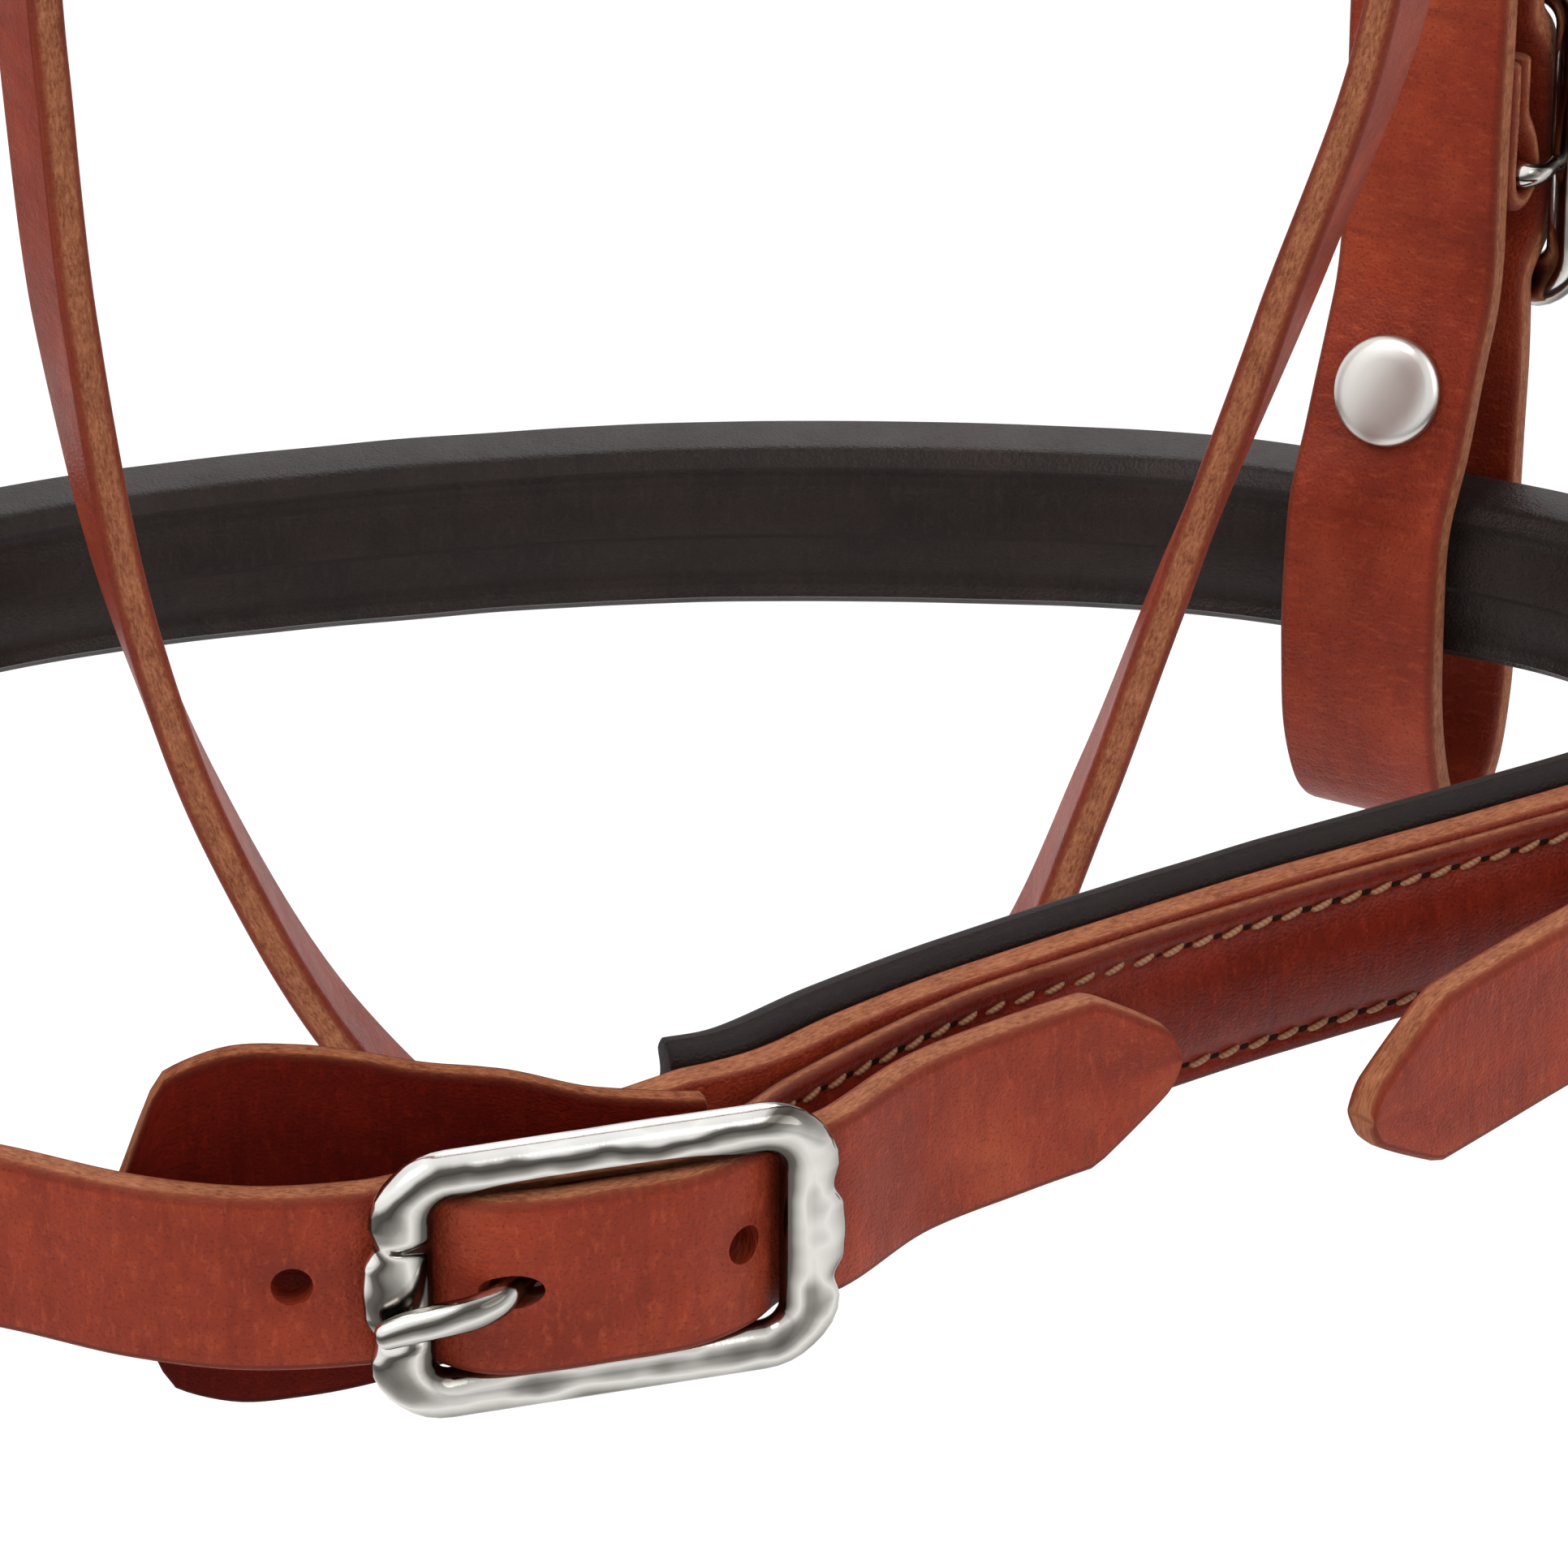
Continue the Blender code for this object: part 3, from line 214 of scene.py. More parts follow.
# Padding
PAD_FACE_WIDTH = 0.0190
PAD_RIDGE = 0.0011
STITCH_INSET = 0.0024
STITCH_GROOVE = 0.0004
GROOVE_HALF = 0.0010
STITCH_PITCH = 0.0037
THREAD_RADIUS = 0.00036
THREAD_LENGTH = 0.0032
STITCH_WANDER = 0.00012
STITCH_LEAN_DEG = 16.0
STITCH_LEAN_PLAY = 5
STITCH_ROWS = 7
STITCH_SIDES = 8
CHAPE_STITCH_PITCH = 0.0028
# The dark lens painted as shade in each stitch hole: long and short radius, rise and section
HOLE_SHADE_LONG = 0.00072
HOLE_SHADE_SHORT = 0.00052
HOLE_SHADE_RISE = 0.00006
HOLE_SHADE_LENS = ((-2.0, 0.8), (0.0, 1.0), (0.9, 0.75), (1.2, 0.25))
HOLE_SHADE_SIDES = 12
FACE_BLEND = 0.0080
LINING_DOME_SHARE = 0.60
LINING_RIDGE = 0.0012
LINING_ROLL = 0.0008
LINING_LIP = 0.0043
LINING_FACE_WIDTH = 0.0198
NOSE_FACE_WIDTH = 0.0170
NOSE_RUN_WIDTH = 0.0166
NOSE_TAPER = 0.0160
FAR_SINK = 0.0010
FAR_SINK_START = -0.030
FAR_SINK_END = 0.020
LIP_THICK = 0.0013
GUARD_NOSE = 0.0060
GUARD_STEPS = 24
BASE_TAPER = 0.0150
BASE_END_SHARE = 0.70

# Hardware
BUCKLE_SIDES = 28
BUCKLE_CORNER_STEPS = 8
END_STEPS = 48
SIDE_STEPS = 14
FRAME_INNER = 0.0027
PRONG_END_INNER = 0.0034
CHAPE_END_INNER = 0.0030
FRAME_CROWN = 0.0007
LEG_SET = 0.0019
LEG_RADIUS = 0.0011
BAR_LEG = ((0.0, FRAME_RISE * 0.72), (0.0, BAR_RADIUS * 1.4), (0.4, BAR_RADIUS * 0.35), (1.5, 0.0))
FRAME_POWER = 2.05
SCALLOP = 0.0011
SCALLOP_TABLE = ((0.0, 1.15), (0.36, 1.0), (0.68, 0.10), (1.05, 0.62), (1.60, 0.10), (2.0, 0.0))
CORNER_RADIUS = 0.0048
SEAT_HALF = 0.0042
SEAT_EASE = 0.0022
PRONG_SKEW = 0.0024
PRONG_STEPS = 6
PRONG_SHARES = (0.80, 0.80, 0.80, 0.80, 0.80, 0.82, 0.88, 1.06, 1.20, 1.30, 1.36, 1.38, 1.34, 1.16)
PRONG_TIP_DEGS = (25, 45, 62, 76, 86)
PRONG_TIP_SHARE = 0.75
SEAT_DEPTH = 0.0002
PRONG_FULL_SHARE = 1.19
PRONG_FLAT = 0.86
PRONG_SLOT_STRETCH = 1.45
SCREW_HEAD_SHARES = (
    (0.10, 0.0), (0.96, 0.0), (1.0, 0.14), (1.0, 0.50), (0.97, 0.72), (0.90, 0.89), (0.78, 0.97), (0.55, 1.0),
    (0.20, 1.0), (0.04, 1.0),
)
SCREW_BACK_SHARES = (
    (0.10, 0.0), (0.95, 0.0), (1.0, 0.15), (1.0, 0.55), (0.94, 0.80), (0.80, 0.96), (0.40, 1.0), (0.05, 1.0),
)
SLOT_HALF = 0.0005
SLOT_DEPTH = 0.0006
SLOT_REACH_SHARE = 0.72

# Colours and surfaces
WHITE = (1.0, 1.0, 1.0, 1.0)
LEATHER_BUMP = 0.00022
NICKEL_BUMP = 0.00006
THREAD_BUMP = 0.0001
# A mix node's factor and its two colours
MIX_COLOUR_SOCKETS = (0, 6, 7)
# Stretch, scale, detail and roughness of the noise, its grey stops, and the tone with its share
LEATHER_LAYERS = (
    ((0.5, 1.0), 130.0, 3.0, 0.55, ((0.38, 0.42), (0.62, 0.0)), "dark", 0.82),
    # Crease lines, darkened where the bump presses them in: painted shade in the creases
    ((1.0, 0.14), 420.0, 3.0, 0.55, ((0.35, 0.30), (0.47, 0.0)), "dark", 0.70),
    ((1.0, 0.35), 1100.0, 5.0, 0.70, ((0.52, 0.0), (0.72, 0.50)), "light", 1.3),
    ((1.0, 1.0), 2600.0, 2.0, 0.50, ((0.30, 0.60), (0.45, 0.0)), "dark", 0.6),
)
# Three face colours, two edge colours, roughness, grain, wrinkle and gloss
CHESTNUT_TONES = (
    (0.230, 0.026, 0.010), (0.345, 0.043, 0.016), (0.440, 0.078, 0.030),
    (0.215, 0.055, 0.024), (0.580, 0.225, 0.105), 0.43, 1.3, 1.5, 0.17,
)
BLACK_TONES = (
    (0.014, 0.009, 0.008), (0.022, 0.0138, 0.0120), (0.032, 0.0210, 0.0182),
    (0.011, 0.008, 0.007), (0.022, 0.015, 0.013), 0.42, 0.8, 0.25, 0.18,
)
GLOSSY_TONES = (
    (0.120, 0.011, 0.005), (0.195, 0.018, 0.008), (0.275, 0.032, 0.013),
    (0.200, 0.052, 0.022), (0.500, 0.200, 0.095), 0.34, 0.8, 1.6, 0.13,
)
# Guard leather: a darker copy of the strap leather, painted shade for the shadow the guard lies in
SHADED_GUARD_TONES = (
    (0.080, 0.0040, 0.0016), (0.120, 0.0065, 0.0024), (0.165, 0.0110, 0.0040),
    (0.170, 0.040, 0.017), (0.500, 0.185, 0.085), 0.52, 1.2, 0.8, 0.05,
)
# Painted reflections of the nickel: a fixed light direction, and colour bands by how far each face turns
# towards it in the object's own space
PAINTED_NICKEL_LIGHT_DIRECTION = (-0.45, -0.35, 0.82)
NICKEL_PAINTED_REFLECTIONS = (
    (0.08, (0.050, 0.044, 0.038)), (0.28, (0.110, 0.098, 0.086)), (0.42, (0.460, 0.440, 0.408)),
    (0.50, (0.680, 0.660, 0.625)), (0.59, (0.240, 0.225, 0.205)), (0.67, (0.060, 0.053, 0.046)),
    (0.72, (0.110, 0.100, 0.089)), (0.77, (0.740, 0.722, 0.685)), (0.86, (0.930, 0.915, 0.885)),
    (0.96, (0.600, 0.585, 0.552)),
)
# The dull nickel's painted reflection: a softer grey gradient by the same facing
DULL_NICKEL_PAINTED_REFLECTIONS = ((0.20, (0.50, 0.485, 0.455)), (0.80, (0.72, 0.705, 0.67)))
THREAD_COLOUR = (0.42, 0.20, 0.10)
# Colours of the painted shade in the stitch holes
HOLE_SHADE_COLOURS = ((0.3, (0.006, 0.003, 0.002)), (0.8, (0.03, 0.012, 0.008)))

# Camera and room
IMAGE_PIXELS = 1932
FOCAL_PIXELS = 10860.0
SENSOR = 36.0
CAMERA_PLACE = (-0.0507, -0.8821, 0.0174)
CAMERA_AZIMUTH_DEG = -4.0
CAMERA_ELEVATION_DEG = 28.0
FLOOR_DROP = 0.80
FLOOR_SIZE = 14.0
FLOOR_GLOW = 0.34
AMBIENT = 0.55
LAMP_TARGET = (0.0, -0.03, -0.42)
LAMPS = (
    ("key", (-0.9, -0.7, 1.1), 1.0, 14.0),
    ("fill", (1.1, -0.9, 0.6), 1.2, 6.0),
    ("rim", (0.3, 1.3, 0.9), 1.0, 7.0),
)

UP = Vector((0, 0, 1))
FORWARD = Vector((0, 1, 0))
SMALL = (SMALL_PRONG_SIDE, SMALL_CHAPE_SIDE)
LARGE = (PRONG_SIDE, CHAPE_SIDE)
SIDES = (("left", -1), ("right", 1))

# Levels that follow from the sizes above
FRAME_HALF = FRAME_RADIUS * FRAME_FLAT_SHARE
CHAPE_FOLD = BAR_RADIUS + CLEAR + CHAPE_THICK / 2
SEAT = CHAPE_FOLD + CHAPE_THICK / 2 + CLEAR
HUMP = SEAT + THICK / 2 + HUMP_PLAY
TUCK = FRAME_RISE - FRAME_HALF - CLEAR - THICK / 2
STRAP_LEVEL = COVER_THICK + CLEAR + THICK / 2
LINING_LEVEL = COVER_THICK + CLEAR + THICK + CLEAR + LINING_THICK / 2
PAD_DROP = SEAT + GUARD_THICK - COVER_THICK
BASE_LEVEL = COVER_THICK + CLEAR + CHIN_BASE_THICK / 2
CHIN_LINING_LEVEL = COVER_THICK + CLEAR + CHIN_BASE_THICK + CLEAR + LINING_THICK / 2
CROWN_MIDDLE = CROWN_RADIUS + THICK / 2
UPPER_BAR_OUT = CROWN_MIDDLE - TUCK
BACKING_DROP = SEAT + THICK / 2
UPPER_BUCKLE_LENGTH = SMALL_CHAPE_SIDE + SMALL_PRONG_SIDE + FRAME_RADIUS * 2
THROAT_BUCKLE_DROP = UPPER_BUCKLE_DROP + UPPER_BUCKLE_LENGTH + BUCKLE_GAP
KEEPER_END = SMALL_CHAPE_SIDE + FRAME_RADIUS + KEEPER_GAP + KEEPER_WIDTH

# The crown's buckles with their drop and place fore and aft, the straps behind them, and its tails
# with width, free end and holes counted from the prong
UPPER_BUCKLES = {
    "cheek": (UPPER_BUCKLE_DROP, CHEEK_TAIL_FORWARD),
    "throat": (THROAT_BUCKLE_DROP, -THROAT_TAIL_BACK),
}
BACKING_WIDTHS = {"cheek": CHEEK_WIDTH, "throat": THROAT_WIDTH}
CROWN_TAILS = {
    "cheek": (TAIL_WIDTH, CHEEK_TAIL_TIP, (-2, 1, 2)),
    "throat": (THROAT_WIDTH, THROAT_TAIL_TIP, ()),
}


# Routes


class Place:
    """A local frame: along the strap, across it and out of its face."""

    def __init__(self, origin, along, out):
        self.origin = Vector(origin)
        self.along = Vector(along).normalized()
        self.out = Vector(out).normalized()
        self.across = self.out.cross(self.along).normalized()

    def at(self, along, across, out):
        return self.origin + self.along * along + self.across * across + self.out * out


def clamp(value):
    return min(max(value, 0.0), 1.0)


def ease(share):
    """A share with an even start and end."""
    return share * share * (3 - 2 * share)


def ring_point(share):
    return Vector((share[0] * RING_WIDTH, share[1] * RING_DEPTH + RING_SHIFT, -RING_DROP))


def turn_out(direction):
    flat = Vector((direction.x, direction.y, 0)).normalized()
    return Vector((-flat.y, flat.x, 0))


def run_at(points, index):
    """Which way a row of points runs at one of them."""
    return points[min(index + 1, len(points) - 1)] - points[max(index - 1, 0)]


def offset_line(shares, level):
    """Plan points moved to the left of their run by a level."""
    points = [ring_point(share) for share in shares]
    return [point + turn_out(run_at(points, index)) * level for index, point in enumerate(points)]


def blend_between(level, knots, index, depth, place):
    low = knots[index]
    high = knots[index + depth]
    return level[index].lerp(level[index + 1], (place - low) / (high - low))


def span_point(points, knots, share):
    place = knots[1] + (knots[2] - knots[1]) * share
    level = list(points)
    for depth in (1, 2):
        level = [blend_between(level, knots, index, depth, place) for index in range(len(level) - 1)]
    return level[0].lerp(level[1], share)


def smooth(points, steps=ROUTE_STEPS):
    """Centripetal Catmull-Rom curve through the points."""
    count = len(points)
    result = []
    for index in range(count - 1):
        middle_a = points[index]
        middle_b = points[index + 1]
        outer_a = points[index - 1] if index > 0 else middle_a * 2 - middle_b
        outer_b = points[index + 2] if index + 2 < count else middle_b * 2 - middle_a
        knots = [0.0]
        for start, end in ((outer_a, middle_a), (middle_a, middle_b), (middle_b, outer_b)):
            knots.append(knots[-1] + math.sqrt((end - start).length))
        for step in range(steps):
            result.append(span_point((outer_a, middle_a, middle_b, outer_b), knots, step / steps))
    result.append(points[-1].copy())
    return result


def lengths_along(points):
    total = [0.0]
    for start, end in zip(points, points[1:]):
        total.append(total[-1] + (end - start).length)
    return total


def sample(points, total, distance):
    """The point at a length along a route, and its place between two points."""
    low = 0
    high = len(total) - 1
    while high - low > 1:
        middle = (low + high) // 2
        if total[middle] <= distance:
            low = middle
        else:
            high = middle
    share = (distance - total[low]) / max(total[high] - total[low], 1e-9)
    return points[low].lerp(points[high], share), low + share


class Route:
    """A strap's middle line, read at lengths along it."""

    def __init__(self, points, across):
        self.points = points
        self.total = lengths_along(points)
        self.length = self.total[-1]
        self.sides = across if isinstance(across, list) else [across] * len(points)

    def at(self, distance):
        """Point, direction, width direction and outward normal at a length."""
        distance = min(max(distance, 0.0), self.length)
        point, place = sample(self.points, self.total, distance)
        before = sample(self.points, self.total, max(distance - STATION * 1.5, 0.0))[0]
        after = sample(self.points, self.total, min(distance + STATION * 1.5, self.length))[0]
        direction = (after - before).normalized()
        low = int(place)
        high = min(low + 1, len(self.sides) - 1)
        side = self.sides[low].lerp(self.sides[high], place - low).normalized()
        return point, direction, side, direction.cross(side).normalized()

    def nearest(self, target):
        index = min(range(len(self.points)), key=lambda place: (self.points[place] - target).length)
        return self.total[index]

    def sign(self, outward):
        """Which way the normal points against a direction."""
        point, direction, side, normal = self.at(self.nearest(outward[0]))
        return 1 if normal.dot(outward[1]) > 0 else -1


# Swept forms


def tip_share(distance, tip):
    """The width's share near a strap's pointed end."""
    if tip <= 0 or distance >= tip:
        return 1.0
    slope = TIP_BLUNT + (1 - TIP_BLUNT) * (distance / tip) ** TIP_POWER
    nose = min(distance / TIP_NOSE, 1.0)
    return slope * math.sqrt(max(1 - (1 - nose) ** 2, 0.0))


def strap_section(half, thick, turn, steps, lift):
    """Closed outline of a strap: across, height and how far a point is on the cut edge."""
    turn = min(turn, half * 0.9, thick * 0.45)
    flat = half - turn
    rise = thick / 2 - turn
    falls = [step / CORNER_STEPS for step in range(1, CORNER_STEPS + 1)]
    outline = []
    for sign in (1, -1):
        for step in range(steps + 1):
            across = sign * flat * (2 * step / steps - 1)
            outline.append((across, sign * thick / 2 + lift(across, sign), 0.0))
        for face, run in ((sign, falls), (-sign, falls[::-1])):
            for fall in run:
                angle = math.pi / 2 * fall
                height = face * (rise + turn * math.cos(angle)) + lift(sign * flat, face) * (1 - fall)
                outline.append((sign * (flat + turn * math.sin(angle)), height, fall))
            if face == sign:
                outline.append((sign * (half + turn * EDGE_BELLY), 0.0, 1.0))
    return outline


def lining_section(half, thick, turn, steps, lift):
    """Closed outline of a lining: a domed inner face and edges rolled out over the strap's edges."""
    flat = half - turn
    tall = thick / 2 + LINING_LIP
    lip = LIP_THICK / 2
    outline = []
    for step in range(steps // 2 + 1):
        across = flat * 2 * step / steps
        outline.append((across, -thick / 2 + lift(across, -1), 0.0))
    for step in range(1, CORNER_STEPS + 1):
        angle = math.pi / 2 * step / CORNER_STEPS
        outline.append((flat + turn * math.sin(angle), -thick / 2 + turn * (1 - math.cos(angle)), 0.0))
    for step in range(CORNER_STEPS * 2 + 1):
        angle = math.pi / 2 * step / CORNER_STEPS
        outline.append((half - lip * (1 - math.cos(angle)), tall - lip * (1 - math.sin(angle)), 0.0))
    outline += [(half - LIP_THICK, thick / 2, 0.0), (half - LIP_THICK * 2, thick / 2, 0.0)]
    return outline + [(-across, height, rim) for across, height, rim in reversed(outline[1:])]


def perimeter(section, start):
    """Lengths round a section, counted from one of its points."""
    laid = [0.0]
    for first, second in zip(section, section[1:]):
        laid.append(laid[-1] + math.hypot(second[0] - first[0], second[1] - first[1]))
    return [value - laid[start] for value in laid]


def stations(length, tips):
    """Lengths along a strap, closer together at its pointed ends."""
    count = max(int(round(length / STATION)), 8)
    places = [length * step / count for step in range(count + 1)]
    places = [place for place in places if place >= tips[0] and place <= length - tips[1]]
    for end, sign, tip in ((0.0, 1, tips[0]), (length, -1, tips[1])):
        if tip <= 0:
            places.append(end + sign * END_BEVEL)
            continue
        for step in range(TIP_STEPS):
            near = 1 - math.cos(math.pi / 2 * step / TIP_STEPS)
            places.append(end + sign * (END_BEVEL / 8 + tip * near))
    return sorted(places)


def no_lift(across, face):
    return 0.0


def hole_dip(place, across, height, thick, holes):
    """How far the leather is pressed in round a hole."""
    dip = 0.0
    if abs(height) < thick * 0.3:
        return dip
    for hole in holes:
        away = math.hypot(place - hole, across) / HOLE_DIP_REACH
        if away < 1:
            dip += (1 - away * away) ** 2
    return dip


def strap(name, route, width, thick, outward=1, tips=(0, 0), widths=None, turn=EDGE_ROUND, steps=FACE_STEPS,
          lift=no_lift, holes=(), cutters=(), seed=0.0, outline=strap_section):
    """A strap of leather: a rounded section carried along its route, with its holes cut."""
    places = stations(route.length, tips)
    laid = perimeter(outline(width / 2, thick, turn, steps, lift), steps // 2)
    verts = []
    marks = []
    for row, place in enumerate(places):
        point, direction, side, normal = route.at(place)
        normal = normal * outward
        half = width / 2 if widths is None else widths(place)
        half *= tip_share(place, tips[0]) * tip_share(route.length - place, tips[1])
        shake = noise.noise(Vector((place / WAVE_LENGTH, seed, 0.3))) * WAVE
        sway = noise.noise(Vector((place / WAVE_LENGTH / 2, seed, 7.7))) * WAVE
        last = row in (0, len(places) - 1)
        bevel = END_BEVEL if last else 0.0
        section = outline(max(half + shake - bevel, END_BEVEL), thick - bevel * 2, turn, steps, lift)
        for (across, height, rim), lay in zip(section, laid):
            dip = hole_dip(place, across, height, thick, holes)
            level = height + sway - math.copysign(dip * HOLE_DIP, height)
            verts.append(point + side * across + normal * level)
            marks.append((place, lay, 1.0 if last else rim, min(dip, 1.0)))
    item = tube_item(name, verts, len(places), marks)
    cutters = list(cutters)
    for index, hole in enumerate(holes):
        point, direction, side, normal = route.at(hole)
        reach = normal * thick
        cutters.append(round_bar(f"{name}_hole_{index}", point - reach, point + reach, HOLE_RADIUS))
    if cutters:
        cut(item, join(cutters))
    return smooth_edges(item)


def tube_faces(rows, sides, base=0, closed=False):
    """Faces of a row of rings, with caps unless it is closed."""
    faces = []
    for row in range(rows if closed else rows - 1):
        low = base + row * sides
        high = base + (row + 1) % rows * sides
        for index in range(sides):
            after = (index + 1) % sides
            faces.append((low + index, low + after, high + after, high + index))
    if not closed:
        faces.append(tuple(base + index for index in reversed(range(sides))))
        last = base + (rows - 1) * sides
        faces.append(tuple(last + index for index in range(sides)))
    return faces


def tube_item(name, verts, rows, marks=None, closed=False):
    """An object made of rings of points."""
    return mesh_item(name, verts, tube_faces(rows, len(verts) // rows, closed=closed), marks)


def smooth_edges(item):
    item.data.shade_smooth()
    item.data.set_sharp_from_angle(angle=math.radians(SHARP_DEG))
    return item


def add_item(name, data):
    """A new object in the scene."""
    item = bpy.data.objects.new(name, data)
    bpy.context.scene.collection.objects.link(item)
    return item


def mesh_item(name, verts, faces, marks=None):
    mesh = bpy.data.meshes.new(name)
    mesh.from_pydata(verts, [], faces)
    mark_mesh(mesh, marks or [(point.z + point.x, point.y, 0.0, 0.0) for point in verts])
    body = bmesh.new()
    body.from_mesh(mesh)
    bmesh.ops.recalc_face_normals(body, faces=body.faces)
    body.to_mesh(mesh)
    body.free()
    mesh.shade_smooth()
    return add_item(name, mesh)


def mark_mesh(mesh, marks):
    """Lengths and widths as a UV map, with how near an edge each point is and how much it is darkened: wear
    round holes, and painted shade inside cut holes and slots and on a frame's or keeper's inner faces.
    """
    layer = mesh.uv_layers.new(name="lay")
    for loop in mesh.loops:
        place, across, rim, dip = marks[loop.vertex_index]
        layer.data[loop.index].uv = (place, across)
    for label, column in (("rim", 2), ("wear_and_shade", 3)):
        values = mesh.attributes.new(label, "FLOAT", "POINT")
        values.data.foreach_set("value", [mark[column] for mark in marks])


def ring_points(centre, first, second, wide, tall, sides):
    """A ring of points round a centre, in the plane of two directions."""
    points = []
    for index in range(sides):
        angle = 2 * math.pi * index / sides
        points.append(centre + first * (math.cos(angle) * wide) + second * (math.sin(angle) * tall))
    return points


def rings(base, axis, profile, sides):
    """Rings of points round an axis, one for each radius and height."""
    turn = UP.rotation_difference(axis).to_matrix()
    points = []
    for radius, height in profile:
        points += ring_points(base + axis * height, turn.col[0], turn.col[1], radius, radius, sides)
    return points


def round_bar(name, start, end, radius, sides=24):
    """A plain round cutter or shank between two points."""
    span = end - start
    verts = rings(start, span.normalized(), ((radius, 0.0), (radius, span.length)), sides)
    # The walls this cuts get the cut-edge colour, and are darkened with a shank inside a hole as painted
    # shade
    marks = [(index * HOLE_RADIUS / 8, index // sides * THICK, 1.0, 1.0) for index in range(len(verts))]
    return tube_item(name, verts, 2, marks)


def join(items):
    """One object out of several."""
    first = items[0]
    if len(items) > 1:
        with bpy.context.temp_override(active_object=first, selected_editable_objects=items):
            bpy.ops.object.join()
    return first


def cut(item, cutter):
    """Take one shape out of another for good."""
    step = item.modifiers.new("cut", "BOOLEAN")
    step.operation = "DIFFERENCE"
    step.solver = "EXACT"
    step.object = cutter
    bpy.context.view_layer.update()
    evaluated = item.evaluated_get(bpy.context.evaluated_depsgraph_get())
    mesh = bpy.data.meshes.new_from_object(evaluated)
    item.modifiers.clear()
    item.data = mesh
    bpy.data.objects.remove(cutter, do_unlink=True)


def ring_form(name, frames, sides, power):
    """A closed loop of rounded sections: centre, outward, upright, inner, outer and half height."""
    shape = []
    for index in range(sides):
        angle = 2 * math.pi * index / sides
        turns = (math.cos(angle), math.sin(angle))
        flat, tall = [math.copysign(abs(value) ** (2 / power), value) for value in turns]
        # The third value darkens the loop's inner side: painted shade on a frame's or keeper's inner faces
        shape.append((flat, tall, max(-turns[0], 0.0) ** 2))
    verts = []
    marks = []
    for row, (centre, normal, height, inner, outer, half) in enumerate(frames):
        for index, (flat, tall, inward) in enumerate(shape):
            verts.append(centre + normal * (flat * (outer if flat > 0 else inner)) + height * (tall * half))
            marks.append((row * STATION, index * STATION, 0.0, inward))
    return tube_item(name, verts, len(frames), marks, closed=True)


def wire(name, points, radii, side, flat=1.0, sides=20, cut_mark=1.0):
    """A wire whose width direction is held; flat presses its height."""
    verts = []
    for index, point in enumerate(points):
        direction = run_at(points, index).normalized()
        normal = direction.cross(side).normalized()
        across = normal.cross(direction).normalized()
        verts += ring_points(point, across, normal, radii[index], radii[index] * flat, sides)
    # A cutter's walls get cut_mark as edge mark and as darkening: painted shade inside the slot it cuts
    marks = [(index * STATION, 0.0, cut_mark, cut_mark) for index in range(len(verts))]
    return tube_item(name, verts, len(points), marks)


def turned(name, profile, base, axis, sides=56):
    """A turned form: radius and height pairs round an axis."""
    return tube_item(name, rings(base, axis, profile, sides), len(profile))


def block(name, place, low, high):
    """A box between two corners of a local frame, for cutting."""
    verts = []
    for out in (low[2], high[2]):
        for along, across in ((low[0], low[1]), (high[0], low[1]), (high[0], high[1]), (low[0], high[1])):
            verts.append(place.at(along, across, out))
    # The walls of the slot this cuts get the cut-edge colour and are darkened as painted shade
    marks = [(point.x, point.z, 1.0, 0.6) for point in verts]
    return tube_item(name, verts, 2, marks)


# Materials


def plug(tree, socket, value):
    """Link another node's output to a socket, or write a plain value there."""
    if isinstance(value, bpy.types.NodeSocket):
        tree.links.new(value, socket)
    else:
        socket.default_value = value


def set_inputs(tree, node, inputs):
    for key, value in inputs.items():
        plug(tree, node.inputs[key], value)


def add_node(tree, kind, settings=None, **inputs):
    node = tree.nodes.new(kind)
    for key, value in (settings or {}).items():
        setattr(node, key, value)
    set_inputs(tree, node, inputs)
    return node


def new_material(name):
    material = bpy.data.materials.new(name)
    material.use_nodes = True
    return material, material.node_tree, material.node_tree.nodes["Principled BSDF"]


def lay_noise(tree, stretch, scale, detail=4.0, rough=0.55):
    """Noise laid along and across a strap."""
    lay = add_node(tree, "ShaderNodeUVMap", {"uv_map": "lay"})
    mapping = add_node(tree, "ShaderNodeMapping", Vector=lay.outputs["UV"], Scale=(*stretch, 1.0))
    return add_node(tree, "ShaderNodeTexNoise", Vector=mapping.outputs["Vector"], Scale=scale, Detail=detail,
                    Roughness=rough).outputs["Fac"]


def ramp(tree, factor, stops):
    """A colour ramp: place and colour pairs."""
    node = add_node(tree, "ShaderNodeValToRGB", Fac=factor)
    elements = node.color_ramp.elements
    while len(elements) < len(stops):
        elements.new(0.5)
    for element, (place, colour) in zip(elements, stops):
        element.position = place
        element.color = (*colour, 1.0)
    return node.outputs["Color"]


def blend_colour(tree, factor, first, second):
    node = add_node(tree, "ShaderNodeMix", {"data_type": "RGBA", "blend_type": "MIX"})
    set_inputs(tree, node, dict(zip(MIX_COLOUR_SOCKETS, (factor, first, second))))
    return node.outputs[2]


def maths(tree, kind, first, second):
    node = add_node(tree, "ShaderNodeMath", {"operation": kind})
    set_inputs(tree, node, {0: first, 1: second})
    return node.outputs[0]


def attribute(tree, name):
    return add_node(tree, "ShaderNodeAttribute", {"attribute_name": name}).outputs["Fac"]


def weigh(tree, pairs, base=None):
    """The sum of some values, each times its weight, on top of a base."""
    total = base
    for value, weight in pairs:
        part = maths(tree, "MULTIPLY", value, weight)
        total = part if total is None else maths(tree, "ADD", part, total)
    return total


def tone(colour, share):
    """A lighter or darker shade of a colour, as a socket takes it."""
    return (*[value * share for value in colour], 1.0)


def bump(tree, height, strength, depth):
    node = add_node(tree, "ShaderNodeBump", Strength=strength, Distance=depth, Height=height)
    return node.outputs["Normal"]


